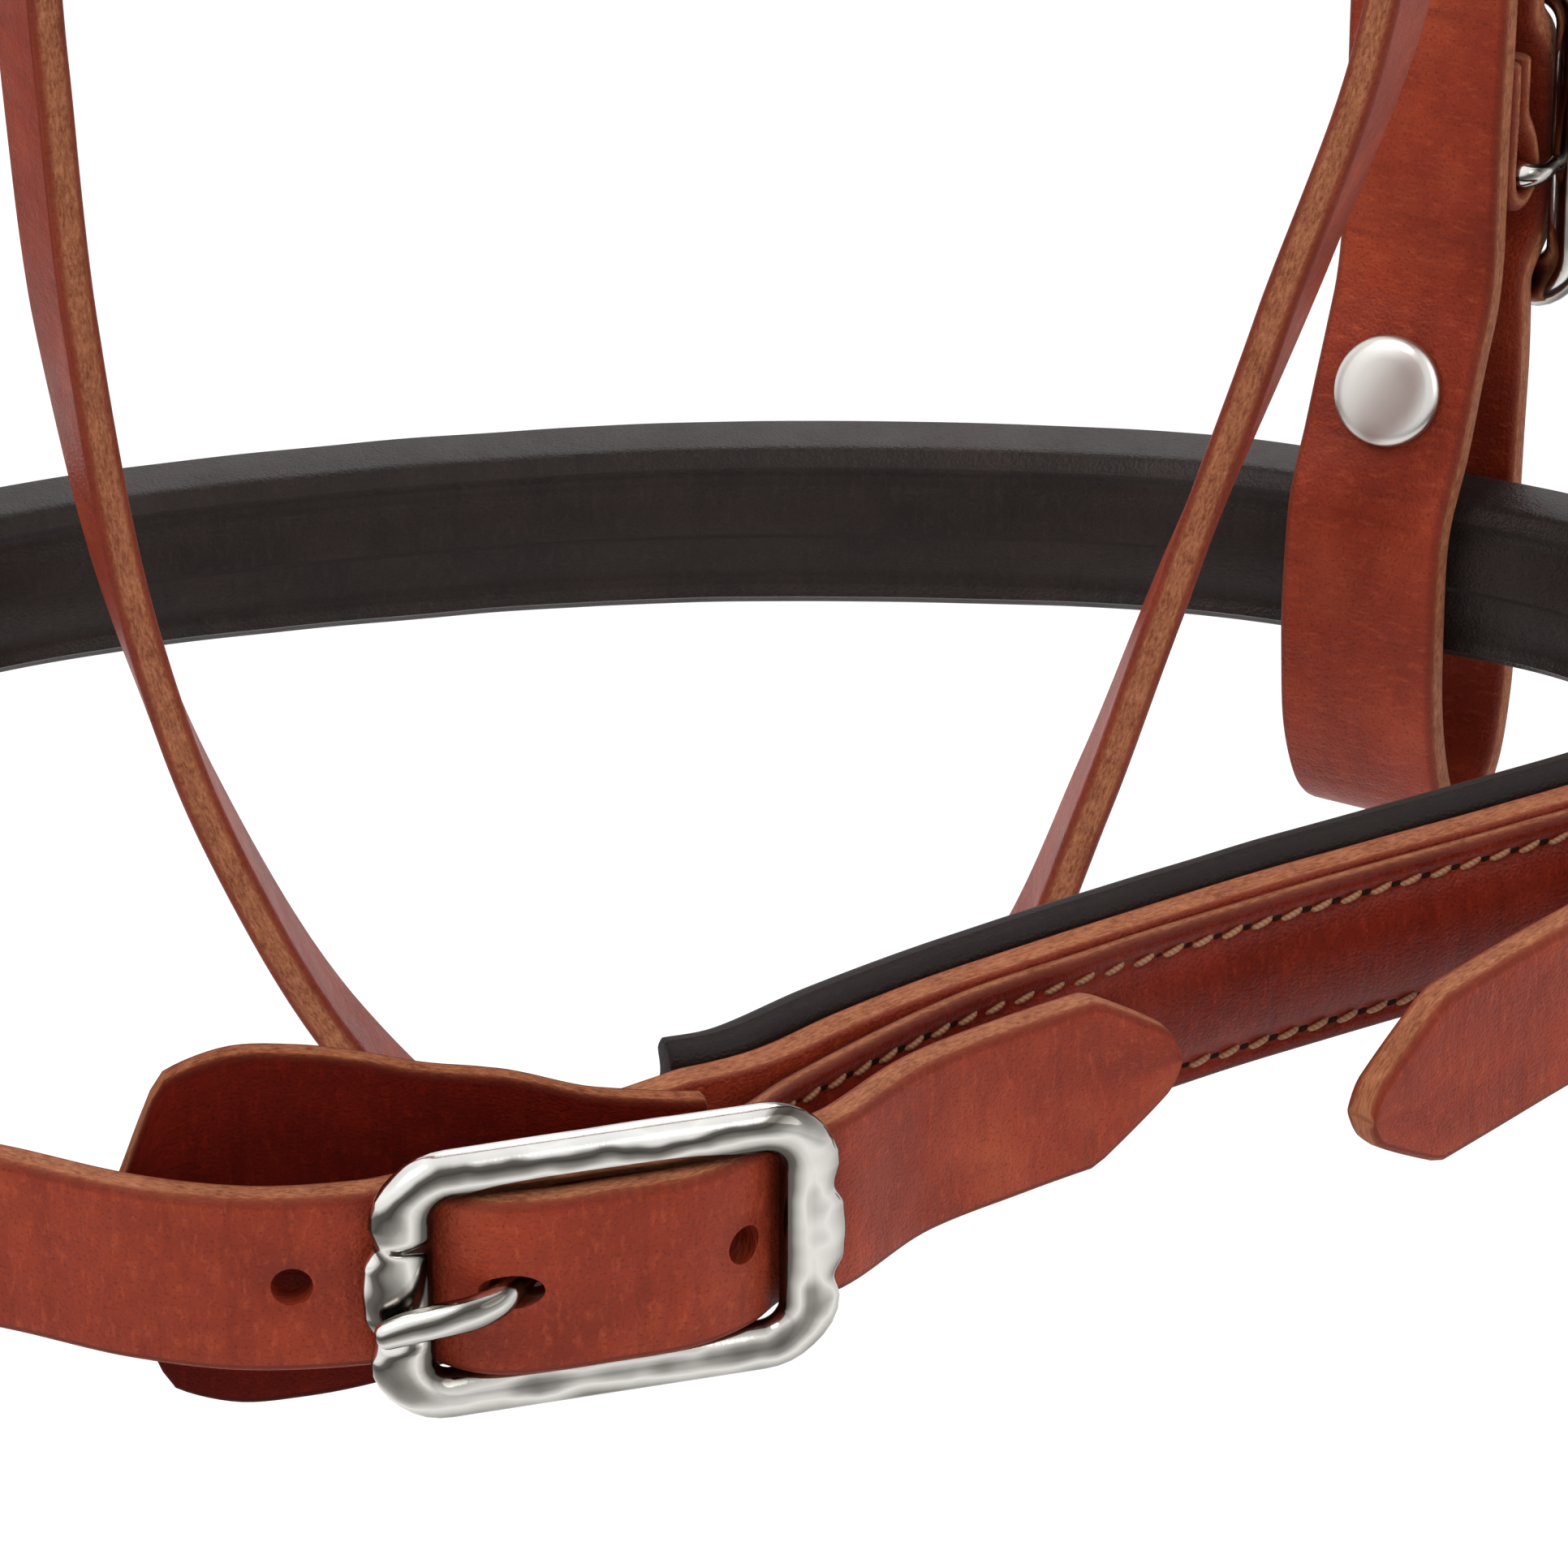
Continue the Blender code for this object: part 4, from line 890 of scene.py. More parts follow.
def leather(name, dark, base, light, edge_dark, edge_light, rough, grain, wrinkle, gloss_level):
    """Oiled bridle leather: mottled face, flecked grain and a fibrous cut edge."""
    material, tree, shader = new_material(name)
    colour = ramp(tree, lay_noise(tree, (1, 1), 60.0), tuple(zip((0.30, 0.52, 0.75), (dark, base, light))))
    fields = []
    # The second layer darkens crease lines where the bump presses them in: painted shade in the creases
    for stretch, scale, detail, coarse, stops, use, share in LEATHER_LAYERS:
        fields.append(lay_noise(tree, stretch, scale, detail, coarse))
        factor = ramp(tree, fields[-1], [(place, (grey, grey, grey)) for place, grey in stops])
        colour = blend_colour(tree, factor, colour, tone(light if use == "light" else dark, share))
    creases, pores = fields[1], fields[3]
    rim = attribute(tree, "rim")
    fibre = lay_noise(tree, (0.30, 1.0), 3000.0, 5.0, 0.75)
    patch = lay_noise(tree, (1.0, 1.6), 260.0, 4.0, 0.6)
    fleck = weigh(tree, ((fibre, 0.72), (patch, 0.28)))
    edge_base = [(low + high) / 2 for low, high in zip(edge_dark, edge_light)]
    edge = ramp(tree, fleck, tuple(zip((0.40, 0.52, 0.66), (edge_dark, edge_base, edge_light))))
    colour = blend_colour(tree, maths(tree, "POWER", rim, 3.0), colour, edge)
    burnish = weigh(tree, ((maths(tree, "MULTIPLY", rim, maths(tree, "SUBTRACT", 1.0, rim)), 2.2),))
    colour = blend_colour(tree, burnish, colour, tone(dark, 0.55))
    # Darker where the leather is pressed in round a hole (wear), and on a keeper's inner faces and inside cut
    # holes and slots (painted shade)
    wear_and_shade = weigh(tree, ((attribute(tree, "wear_and_shade"), 0.45),))
    colour = blend_colour(tree, wear_and_shade, colour, tone(dark, 0.45))
    gloss = weigh(tree, ((lay_noise(tree, (1, 1), 160.0), 0.22), (rim, 0.25)), rough - 0.11)
    height = weigh(tree, (
        (pores, grain), (lay_noise(tree, (1, 1), 620.0, 4.0), grain * 0.8), (creases, wrinkle),
        (maths(tree, "MULTIPLY", fleck, rim), 2.0),
    ))
    set_inputs(tree, shader, {
        "Base Color": colour, "Roughness": gloss, "Normal": bump(tree, height, 0.6, LEATHER_BUMP),
        "Specular IOR Level": gloss_level, "Sheen Weight": 0.02, "Sheen Roughness": 0.45,
        "Sheen Tint": (1.0, 0.66, 0.62, 1.0),
    })
    return material


def nickel(name, painted_reflections, rough):
    """Polished nickel: painted reflection bands in its colour by which way each face points in the object's
    own space, painted shade on a frame's inner faces, with faint scratches.
    """
    material, tree, shader = new_material(name)
    place = add_node(tree, "ShaderNodeTexCoord")
    spot = place.outputs["Object"]
    cloud = add_node(tree, "ShaderNodeTexNoise", Vector=spot, Scale=110.0, Detail=2.0).outputs["Fac"]
    # Painted reflection: the colour follows how far each face turns towards a fixed light direction
    painted_light_facing = add_node(tree, "ShaderNodeVectorMath", {"operation": "DOT_PRODUCT"})
    set_inputs(tree, painted_light_facing, {0: place.outputs["Normal"], 1: Vector(PAINTED_NICKEL_LIGHT_DIRECTION).normalized()})
    # Painted light level: facing plus noise, lowered on a frame's inner faces and cut walls as painted shade
    level = weigh(tree, (
        (painted_light_facing.outputs["Value"], 0.44), (cloud, 0.46), (attribute(tree, "wear_and_shade"), -0.62),
    ), 0.22)
    stretch = add_node(tree, "ShaderNodeMapping", Vector=spot, Scale=(1.0, 1.0, 0.15)).outputs["Vector"]
    scratches = add_node(tree, "ShaderNodeTexNoise", Vector=stretch, Scale=2200.0, Detail=3.0).outputs["Fac"]
    set_inputs(tree, shader, {
        "Base Color": ramp(tree, level, painted_reflections), "Metallic": 1.0,
        "Roughness": weigh(tree, ((cloud, 0.12),), rough - 0.06),
        "Normal": bump(tree, scratches, 0.12, NICKEL_BUMP),
    })
    return material


def thread(name, colour):
    """Twisted waxed thread."""
    material, tree, shader = new_material(name)
    place = add_node(tree, "ShaderNodeTexCoord").outputs["Object"]
    twist = add_node(tree, "ShaderNodeTexWave", {"bands_direction": "DIAGONAL"}, Vector=place, Scale=700.0,
                     Distortion=1.0).outputs["Fac"]
    # Darker in the twist's grooves, where the bump is low: painted shade
    shade = ramp(tree, twist, ((0.0, [value * 0.6 for value in colour]), (1.0, colour)))
    relief = bump(tree, twist, 0.5, THREAD_BUMP)
    set_inputs(tree, shader, {"Base Color": shade, "Roughness": 0.6, "Normal": relief})
    return material


def painted_hole_shade_material(name):
    """Painted shade for the inside of a stitch hole."""
    material, tree, shader = new_material(name)
    place = add_node(tree, "ShaderNodeTexCoord").outputs["Object"]
    speck = add_node(tree, "ShaderNodeTexNoise", Vector=place, Scale=3000.0).outputs["Fac"]
    colour = ramp(tree, speck, HOLE_SHADE_COLOURS)
    set_inputs(tree, shader, {"Base Color": colour, "Roughness": 0.85, "Specular IOR Level": 0.1})
    return material


CHESTNUT = leather("chestnut_bridle_leather", *CHESTNUT_TONES)
BLACK = leather("black_lining_leather", *BLACK_TONES)
GLOSSY = leather("glossy_cover_leather", *GLOSSY_TONES)
# The guard's darker leather is painted shade
SHADED_GUARD_LEATHER = leather("guard_leather_painted_shade", *SHADED_GUARD_TONES)
NICKEL = nickel("polished_nickel", NICKEL_PAINTED_REFLECTIONS, 0.13)
DULL_NICKEL = nickel("dull_nickel", DULL_NICKEL_PAINTED_REFLECTIONS, 0.34)
THREAD = thread("waxed_thread", THREAD_COLOUR)
# Painted shade for the stitch holes
PAINTED_HOLE_SHADE = painted_hole_shade_material("stitch_hole_painted_shade")


def fit(item, material, node, stands=True):
    """Finish a piece: its material, its node's body and whether it takes the node's place."""
    item.data.materials.clear()
    item.data.materials.append(material)
    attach(item, frame["nodes"][node]["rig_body"])
    if stands:
        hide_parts(node)
    return item


# Stitches


def stitch_row(label, route, outward, span, across, level, pitch, node):
    """A row of short slanted stitches with a dark lens of painted shade for the hole between each two."""
    thread_verts = []
    hole_shade_verts = []
    thread_faces = []
    hole_shade_faces = []
    for step in range(int((span[1] - span[0]) / pitch)):
        place = span[0] + (step + 0.5) * pitch
        point, direction, side, normal = route.at(place)
        normal = normal * outward
        lean_deg = STITCH_LEAN_DEG + STITCH_LEAN_PLAY * noise.noise(Vector((place * 900, across * 700, 1.1)))
        lean = math.radians(lean_deg)
        along = direction * math.cos(lean) + side * math.sin(lean)
        beside = normal.cross(along)
        wander = STITCH_WANDER * noise.noise(Vector((place * 700, 4.0, across)))
        base = point + side * (across + wander) + normal * level
        add_stitch(thread_verts, thread_faces, base, along, beside, normal)
        add_hole_shade(hole_shade_verts, hole_shade_faces, base - direction * (pitch / 2), along, beside, normal)
    fit(mesh_item(f"{label}_thread", thread_verts, thread_faces), THREAD, node, False)
    # Each stitch hole is a dark lens of painted shade
    fit(mesh_item(f"{label}_holes", hole_shade_verts, hole_shade_faces), PAINTED_HOLE_SHADE, node, False)


def add_stitch(verts, faces, base, along, beside, normal):
    """One stitch: a short arched thread with both ends sunk."""
    first = len(verts)
    for row in range(STITCH_ROWS):
        share = 2 * row / (STITCH_ROWS - 1) - 1
        arch = THREAD_RADIUS * (0.55 - 1.9 * share ** 4)
        radius = THREAD_RADIUS * (1 - 0.35 * share * share)
        centre = base + along * (share * THREAD_LENGTH / 2) + normal * arch
        verts += ring_points(centre, beside, normal, radius, radius, STITCH_SIDES)
    faces += tube_faces(STITCH_ROWS, STITCH_SIDES, first)


def add_hole_shade(verts, faces, centre, along, beside, normal):
    """One stitch hole's painted shade: a thin dark lens just above the leather."""
    first = len(verts)
    for height, share in HOLE_SHADE_LENS:
        level = centre + normal * (HOLE_SHADE_RISE * height)
        verts += ring_points(level, along, beside, HOLE_SHADE_LONG * share, HOLE_SHADE_SHORT * share, HOLE_SHADE_SIDES)
    faces += tube_faces(len(HOLE_SHADE_LENS), HOLE_SHADE_SIDES, first)


# Buckles


def ease_table(table, value):
    """A value read between table rows with an even ease."""
    for (low, first), (high, second) in zip(table, table[1:]):
        if value <= high:
            return first + (second - first) * ease((value - low) / (high - low))
    return table[-1][1]


def frame_corner(end, end_sign, sign, straight):
    """One rounded corner of a frame, from its end to its side."""
    corner = []
    for step in range(1, BUCKLE_CORNER_STEPS):
        angle = math.pi / 2 * step / BUCKLE_CORNER_STEPS
        rise = math.sin(angle)
        reach = math.cos(angle)
        corner.append((end - end_sign * CORNER_RADIUS * (1 - reach), sign * (straight + CORNER_RADIUS * rise),
                       end_sign * reach, sign * rise, 1 + step / BUCKLE_CORNER_STEPS, 0))
    return corner


def frame_outline(prong_side, chape_side, half):
    """Plan of a buckle frame: along, across, outward direction, share from an end's middle, end's sign."""
    outline = []
    straight = half - CORNER_RADIUS
    for sign, side, far in ((1, prong_side, -chape_side), (-1, -chape_side, prong_side)):
        turn = sign * CORNER_RADIUS
        for step in range(END_STEPS + 1):
            share = 2 * step / END_STEPS - 1
            outline.append((side, share * sign * straight, sign, 0.0, abs(share), sign))
        outline += frame_corner(side, sign, sign, straight)
        for step in range(SIDE_STEPS + 1):
            along = side - turn + (far - side + 2 * turn) * step / SIDE_STEPS
            outline.append((along, sign * half, 0.0, float(sign), 2.0, 0))
        outline += reversed(frame_corner(far, -sign, sign, straight))
    return outline


def centre_bar(name, place, half):
    """The dropped bar between a frame's two sides."""
    end = half - LEG_SET
    bar = []
    for side in (1, -1):
        leg = [place.at(0, side * (end - BAR_RADIUS * back), rise) for back, rise in BAR_LEG]
        bar += leg if side > 0 else [place.at(0, 0, 0)] + list(reversed(leg))
    bar = smooth(bar, 4)
    radii = []
    for point in bar:
        inside = end - abs((point - place.origin).dot(place.across))
        radii.append(LEG_RADIUS + (BAR_RADIUS - LEG_RADIUS) * clamp(inside / BAR_RADIUS))
    return wire(name + "_bar", bar, radii, place.along, cut_mark=0.0)


def buckle(name, place, strap_width, sides=LARGE):
    """A nickel frame with scalloped ends, a seat for the prong and a dropped centre bar."""
    half = strap_width / 2 + WINDOW_PLAY + FRAME_RADIUS
    frames = []
    for along, across, lean_along, lean_across, share, end in frame_outline(*sides, half):
        outward = (place.along * lean_along + place.across * lean_across).normalized()
        outer = FRAME_RADIUS + SCALLOP * ease_table(SCALLOP_TABLE, share)
        end_inner = PRONG_END_INNER if along > 0 else CHAPE_END_INNER
        inner = FRAME_INNER + (end_inner - FRAME_INNER) * min(2 - share, 1.0)
        seated = clamp((SEAT_HALF + SEAT_EASE - abs(across)) / SEAT_EASE) if end > 0 else 0.0
        rise = FRAME_CROWN - (FRAME_CROWN + SEAT_DEPTH) * ease(seated)
        centre = place.at(along, across, FRAME_RISE + rise / 2)
        frames.append((centre, outward, place.out, inner, outer, FRAME_HALF + rise / 2))
    ring = ring_form(name, frames, BUCKLE_SIDES, FRAME_POWER)
    return fit(smooth_edges(join([ring, centre_bar(name, place, half)])), NICKEL, name)


def prong_route(prong_side):
    """Side view of a prong: an eye round the bar, a shank up through the strap and a tip."""
    eye = BAR_RADIUS + CLEAR + PRONG_RADIUS * 0.85
    points = []
    for step in range(7):
        angle = math.radians(-60 - 195 * step / 6)
        points.append((eye * math.cos(angle), eye * math.sin(angle)))
    rest = FRAME_RISE + FRAME_HALF + CLEAR + PRONG_RADIUS * PRONG_FULL_SHARE
    points += [
        (HUMP * 0.46, SEAT * 0.88), (HUMP * 0.90, HUMP * 0.92), (HUMP * 1.25, HUMP * 1.27),
        (HUMP * 1.62, rest + CLEAR * 3), (prong_side * 0.80, rest + CLEAR * 2),
        (prong_side, rest - SEAT_DEPTH), (prong_side + FRAME_RADIUS * 0.9, rest - SEAT_DEPTH - CLEAR),
    ]
    return points


def prong(name, place, sides=LARGE, skew=0.0):
    """A flattened prong with a rounded tip, which may lie to one side of its seat."""
    control = []
    for along, out in prong_route(sides[0]):
        control.append(place.at(along, skew * max(along / sides[0], 0.0) ** 2, out))
    points = smooth(control, PRONG_STEPS)
    radii = [PRONG_RADIUS * share for share in spread(PRONG_SHARES, PRONG_STEPS)]
    last = points[-1]
    forward = (last - points[-2]).normalized()
    full = radii[-1]
    for angle_deg in PRONG_TIP_DEGS:
        points.append(last + forward * (full * PRONG_TIP_SHARE * math.sin(math.radians(angle_deg))))
        radii.append(full * math.cos(math.radians(angle_deg)))
    item = wire(name, points, radii, place.across, flat=PRONG_FLAT, cut_mark=0.0)
    return fit(item, NICKEL, name)


def prong_cutter(name, place, sides=LARGE):
    """Room for a prong at rest and lifted, as one slanted oval hole."""
    turn = math.radians(PRONG_LIFT_DEG / 2)
    points = []
    for along, out in prong_route(sides[0])[6:11]:
        points.append(place.at(along * math.cos(turn) - out * math.sin(turn), 0,
                               along * math.sin(turn) + out * math.cos(turn)))
    radii = [PRONG_RADIUS + PRONG_PLAY] * len(points)
    return wire(name, points, radii, place.across, flat=PRONG_SLOT_STRETCH)


def chape_cutter(name, place):
    reach = CHAPE_FOLD + CHAPE_THICK
    half = CHAPE_SLOT_WIDTH / 2
    return block(name, place, (-reach, -half, -reach), (reach, half, reach))


def fold_points(place):
    points = []
    for step in range(5):
        angle = math.radians(-90 + 45 * step)
        points.append(place.at(CHAPE_FOLD * math.cos(angle), 0, CHAPE_FOLD * math.sin(angle)))
    return points


def chape(name, place, width):
    """A short stitched chape, folded round its bar."""
    pressed = -CHAPE_FOLD + CHAPE_THICK + CLEAR
    control = [place.at(-CHAPE_LEAF, 0, -CHAPE_FOLD), place.at(-CHAPE_LEAF / 2, 0, -CHAPE_FOLD)]
    control += fold_points(place)
    control += [
        place.at(-CHAPE_LEAF * 0.28, 0, CHAPE_FOLD * 0.62), place.at(-CHAPE_LEAF * 0.52, 0, pressed * 0.6),
        place.at(-CHAPE_LEAF * 0.74, 0, pressed), place.at(-CHAPE_LEAF, 0, pressed),
    ]
    route = Route(smooth(control), place.across)
    cutters = [chape_cutter(name + "_slot", place)]
    item = strap(name, route, width, CHAPE_THICK, -1, cutters=cutters, seed=width)
    fit(item, CHESTNUT, name)
    span = (route.length - CHAPE_LEAF * 0.52, route.length - STITCH_INSET / 2)
    for row, across in enumerate((-1, 1)):
        stitch_row(f"{name}_row_{row}", route, -1, span, across * (width / 2 - STITCH_INSET), CHAPE_THICK / 2,
                   CHAPE_STITCH_PITCH, name)


# Noseband


def hump_points(place, sides=LARGE):
    """A billet's middle line through a buckle, prong side first."""
    prong_side, chape_side = sides
    top = HUMP + FULLER
    levels = (
        (prong_side + FRAME_RADIUS, TUCK), (prong_side - FRAME_RADIUS, TUCK),
        (prong_side * 0.54, top * 0.84), (prong_side * 0.24, top), (-chape_side * 0.12, top),
        (-chape_side * 0.44, top * 0.95), (-chape_side * 0.69, top * 0.66),
        (-chape_side + FRAME_RADIUS, TUCK), (-chape_side - FRAME_RADIUS, TUCK),
    )
    return [place.at(along, 0, out) for along, out in levels]


def yaw_place(share, yaw_deg):
    """A chin buckle's frame on the ring."""
    yaw = math.radians(yaw_deg)
    along = Vector((math.cos(yaw), math.sin(yaw), 0))
    origin = ring_point(share)
    outward = turn_out(along)
    if outward.dot(origin - ring_point(RING_CENTRE_SHARES)) < 0:
        outward = -outward
    return Place(origin, along, outward)


def chin_places():
    return yaw_place(CHIN_ONE_SHARES, CHIN_ONE_YAW_DEG), yaw_place(CHIN_TWO_SHARES, CHIN_TWO_YAW_DEG)


def nose_line(level):
    """The padded run at a level inside its outer face, a little lower at the far side."""
    points = offset_line(NOSE_SHARES, level)
    for point in points:
        point.z -= FAR_SINK * clamp((point.y - FAR_SINK_START) / (FAR_SINK_END - FAR_SINK_START))
    return points


def nose_strap():
    """The long strap: billet, padded run round the nose, billet."""
    one, two = chin_places()
    pad = offset_line(PAD_SHARES, -(THICK / 2 + PAD_RIDGE + CLEAR * 2 + CHIN_TIP_ONE_LIFT))
    control = [pad[2].lerp(pad[3], CHIN_TIP_ONE_SHARE), pad[2], pad[1]]
    control += reversed(hump_points(one))
    control += [ring_point(share) for share in reversed(LEFT_BILLET_SHARES)]
    control += nose_line(-STRAP_LEVEL)
    control += [ring_point(share) for share in RIGHT_BILLET_SHARES]
    control += hump_points(two)
    yaw = math.radians(CHIN_TIP_TWO_YAW_DEG)
    free = Vector((math.cos(yaw), math.sin(yaw), 0))
    last = control[-1]
    for share in (0.5, 1):
        control.append(last + free * (CHIN_TIP_TWO * share) - UP * (CHIN_TIP_TWO_SAG * share * share))
    route = Route(smooth(control), UP)
    padded = nose_line(-STRAP_LEVEL)
    first, last = route.nearest(padded[0]), route.nearest(padded[-1])
    full = CHIN_STRAP_WIDTH + FULLER

    def widths(place):
        near = ease(clamp(min(place - first, last - place) / NOSE_TAPER))
        return (full + (NOSE_RUN_WIDTH - full) * near) / 2

    holes = []
    for place in (one, two):
        middle = route.nearest(place.at(HUMP, 0, HUMP))
        holes += [middle + step * HOLE_PITCH for step in (-1, 1)]
    cutters = [prong_cutter("left_prong_room", one), prong_cutter("right_prong_room", two)]
    item = strap("nose_strap_leather", route, full, THICK, -1, tips=(TIP, TIP), widths=widths, holes=holes,
                 cutters=cutters, seed=1.5)
    fit(item, CHESTNUT, "nose_strap")


def sewn_lift(row):
    """Outer face of sewn padding: a dome between two grooves."""
    inner = row - GROOVE_HALF

    def lift(across, face):
        if face < 0:
            return 0.0
        away = abs(across)
        dome = PAD_RIDGE * max(1 - (away / inner) ** 2.4, 0.0)
        groove = STITCH_GROOVE * max(1 - ((away - row) / GROOVE_HALF) ** 2, 0.0)
        return dome - groove
    return lift


def roll_lift(half):
    """Inner face of the black lining: a dome, two grooves and two rolled edges."""
    inner = half * LINING_DOME_SHARE
    roll = half - inner - GROOVE_HALF

    def lift(across, face):
        away = abs(across)
        if face > 0:
            return 0.0
        if away <= inner:
            return -LINING_RIDGE * (1 - (away / inner) ** 2)
        return -LINING_ROLL * math.sin(math.pi * clamp((away - inner - GROOVE_HALF) / roll))
    return lift


def sewn_rows(label, route, outward, span, across, node):
    """The two stitched rows of a cover."""
    level = COVER_THICK / 2 - STITCH_GROOVE
    for row, sign in (("upper", 1), ("lower", -1)):
        stitch_row(f"{label}_{row}", route, outward, span, sign * across, level, STITCH_PITCH, node)


def nose_padding():
    """The stitched cover outside the strap and the ridged black lining inside it."""
    row = NOSE_FACE_WIDTH / 2 - STITCH_INSET
    cover = Route(smooth(nose_line(-COVER_THICK / 2)), UP)
    item = strap("nose_cover_leather", cover, NOSE_FACE_WIDTH, COVER_THICK, -1, steps=PAD_STEPS,
                 lift=sewn_lift(row), seed=2.5)
    fit(item, GLOSSY, "nose_cover")
    sewn_rows("nose", cover, -1, (STITCH_PITCH, cover.length - STITCH_PITCH), row, "nose_cover")
    lining = Route(smooth(nose_line(-LINING_LEVEL)), UP)
    item = strap("nose_lining_leather", lining, LINING_FACE_WIDTH, LINING_THICK, -1, steps=PAD_STEPS,
                 turn=LINING_ROUND, lift=roll_lift(LINING_FACE_WIDTH / 2), seed=3.5,
                 outline=lining_section)
    fit(item, BLACK, "nose_lining")


def pad_line(level, start_share=0.0):
    """The chin pad's line at a level inside its outer face, between the two bars."""
    one, two = chin_places()
    points = offset_line(PAD_SHARES, level)
    start = one.at(0, 0, -PAD_DROP - level).lerp(points[0], start_share)
    if start_share > 0:
        return [start] + points
    return [start] + points + [two.at(0, 0, -PAD_DROP - level)]


def chin_padding():
    """The stiff base that runs to both bars and the black lining inside it."""
    base = Route(smooth(pad_line(BASE_LEVEL)), UP)

    def widths(place):
        near = min(min(place, base.length - place) / BASE_TAPER, 1.0)
        return CHIN_BASE_WIDTH / 2 * (BASE_END_SHARE + (1 - BASE_END_SHARE) * near)

    item = strap("chin_base_leather", base, CHIN_BASE_WIDTH, CHIN_BASE_THICK, widths=widths,
                 turn=EDGE_ROUND * 0.6, seed=4.5)
    fit(item, CHESTNUT, "chin_base")
    lining = Route(smooth(pad_line(CHIN_LINING_LEVEL, LINING_START_SHARE)), UP)
    item = strap("chin_lining_leather", lining, CHIN_LINING_WIDTH, LINING_THICK, steps=PAD_STEPS,
                 turn=LINING_ROUND, lift=roll_lift(CHIN_LINING_WIDTH / 2), seed=5.5)
    fit(item, BLACK, "chin_lining")


def cover_end(place, shares):
    """The cover's inner leaf, its fold round a bar and its run down to the pad."""
    points = [place.at(-CHAPE_LEAF * 0.8, 0, -CHAPE_FOLD), place.at(-CHAPE_LEAF / 2, 0, -CHAPE_FOLD)]
    points += fold_points(place)
    points.append(place.at(-CHAPE_LEAF * 0.28, 0, CHAPE_FOLD * 0.62))
    points += [place.at(-CHAPE_REACH * back, 0, CHAPE_REACH * out) for back, out in shares]
    return points


def chin_cover():
    """One strip: a chape round each bar and the domed, stitched face between them."""
    one, two = chin_places()
    middle = smooth(offset_line(PAD_SHARES, COVER_THICK / 2), 2)[4:-4]
    first = cover_end(one, COVER_ONE_SHARES)
    last = list(reversed(cover_end(two, COVER_TWO_SHARES)))
    route = Route(smooth(first + middle + last), UP)
    opening = route.nearest(first[-1])
    closing = route.nearest(last[0])
    row = PAD_FACE_WIDTH / 2 - STITCH_INSET

    def widths(place):
        share = ease(clamp(min(place - opening, closing - place) / FACE_BLEND + 1))
        return (CHIN_COVER_WIDTH + (PAD_FACE_WIDTH - CHIN_COVER_WIDTH) * share) / 2

    cutters = [chape_cutter("cover_slot_left", one), chape_cutter("cover_slot_right", two)]
    item = strap("chin_cover_leather", route, PAD_FACE_WIDTH, COVER_THICK, widths=widths, steps=PAD_STEPS,
                 lift=sewn_lift(row), cutters=cutters, seed=6.5)
    fit(item, GLOSSY, "chin_cover")
    span = (opening - FACE_BLEND * 0.4, closing + FACE_BLEND * 0.4)
    sewn_rows("chin", route, 1, span, row, "chin_cover")


def guard(name, place, shares):
    """The lobe that keeps a chin buckle off the skin."""
    level = SEAT + GUARD_THICK / 2
    control = [place.at(GUARD_LENGTH * along, 0, -level - GUARD_LENGTH * sink) for along, sink in shares]
    route = Route(smooth(control), UP)
    top = len(GUARD_WIDTH_SHARES) - 1

    def widths(distance):
        at = sample(route.points, route.total, distance)[1] / ROUTE_STEPS
        low = min(int(at), top - 1)
        share = at - low
        one, two, three, four = [GUARD_WIDTH_SHARES[max(min(low + step, top), 0)] for step in (-1, 0, 1, 2)]
        bend = two + (three - one) / 2 * share
        bend += (one - 2.5 * two + 2 * three - four / 2) * share ** 2
        bend += (1.5 * (two - three) + (four - one) / 2) * share ** 3
        return GUARD_LOBE_WIDTH / 2 * bend

    outward = route.sign((control[2], place.out))
    item = strap(name, route, GUARD_LOBE_WIDTH, GUARD_THICK, outward, tips=(0, GUARD_NOSE), widths=widths,
                 steps=GUARD_STEPS, seed=level + shares[5][1])
    # The guard takes the darker leather copy: painted shade
    fit(item, SHADED_GUARD_LEATHER, name)


def chin_hardware():
    for label, place, shares in zip(("left", "right"), chin_places(), (GUARD_ONE_SHARES, GUARD_TWO_SHARES)):
        guard(f"chin_guard_{label}", place, shares)
        buckle(f"chin_buckle_{label}", place, CHIN_STRAP_WIDTH)
        prong(f"chin_prong_{label}", place, skew=PRONG_SKEW if label == "left" else 0.0)


# Cheeks


def cheek_place(side):
    """A cheek's frame on the ring: outward normal, with its origin on the band's face."""
    yaw = math.radians(CHEEK_YAW_DEG)
    index = RIGHT_CHEEK_INDEX if side > 0 else LEFT_CHEEK_INDEX
    return Place(ring_point(NOSE_SHARES[index]), -UP, (side * math.sin(yaw), math.cos(yaw), 0))


def loop_buckle_place(side):
    base = cheek_place(side)
    inner = LOOP_SHARES[0][0] * LOOP_BOTTOM
    return Place(base.at(-LOOP_BUCKLE_RISE, 0, inner + BACKING_DROP), base.along, base.out)


def strap_side(side, drop):
    """The strap's width direction, turned from the band's run to fore and aft."""
    turned_share = ease(clamp((TWIST_START_DROP - drop) / (TWIST_START_DROP - TWIST_END_DROP)))
    angle = math.radians((90 - CHEEK_YAW_DEG) * turned_share + CHEEK_YAW_DEG)
    return Vector((math.cos(angle), -side * math.sin(angle), 0))


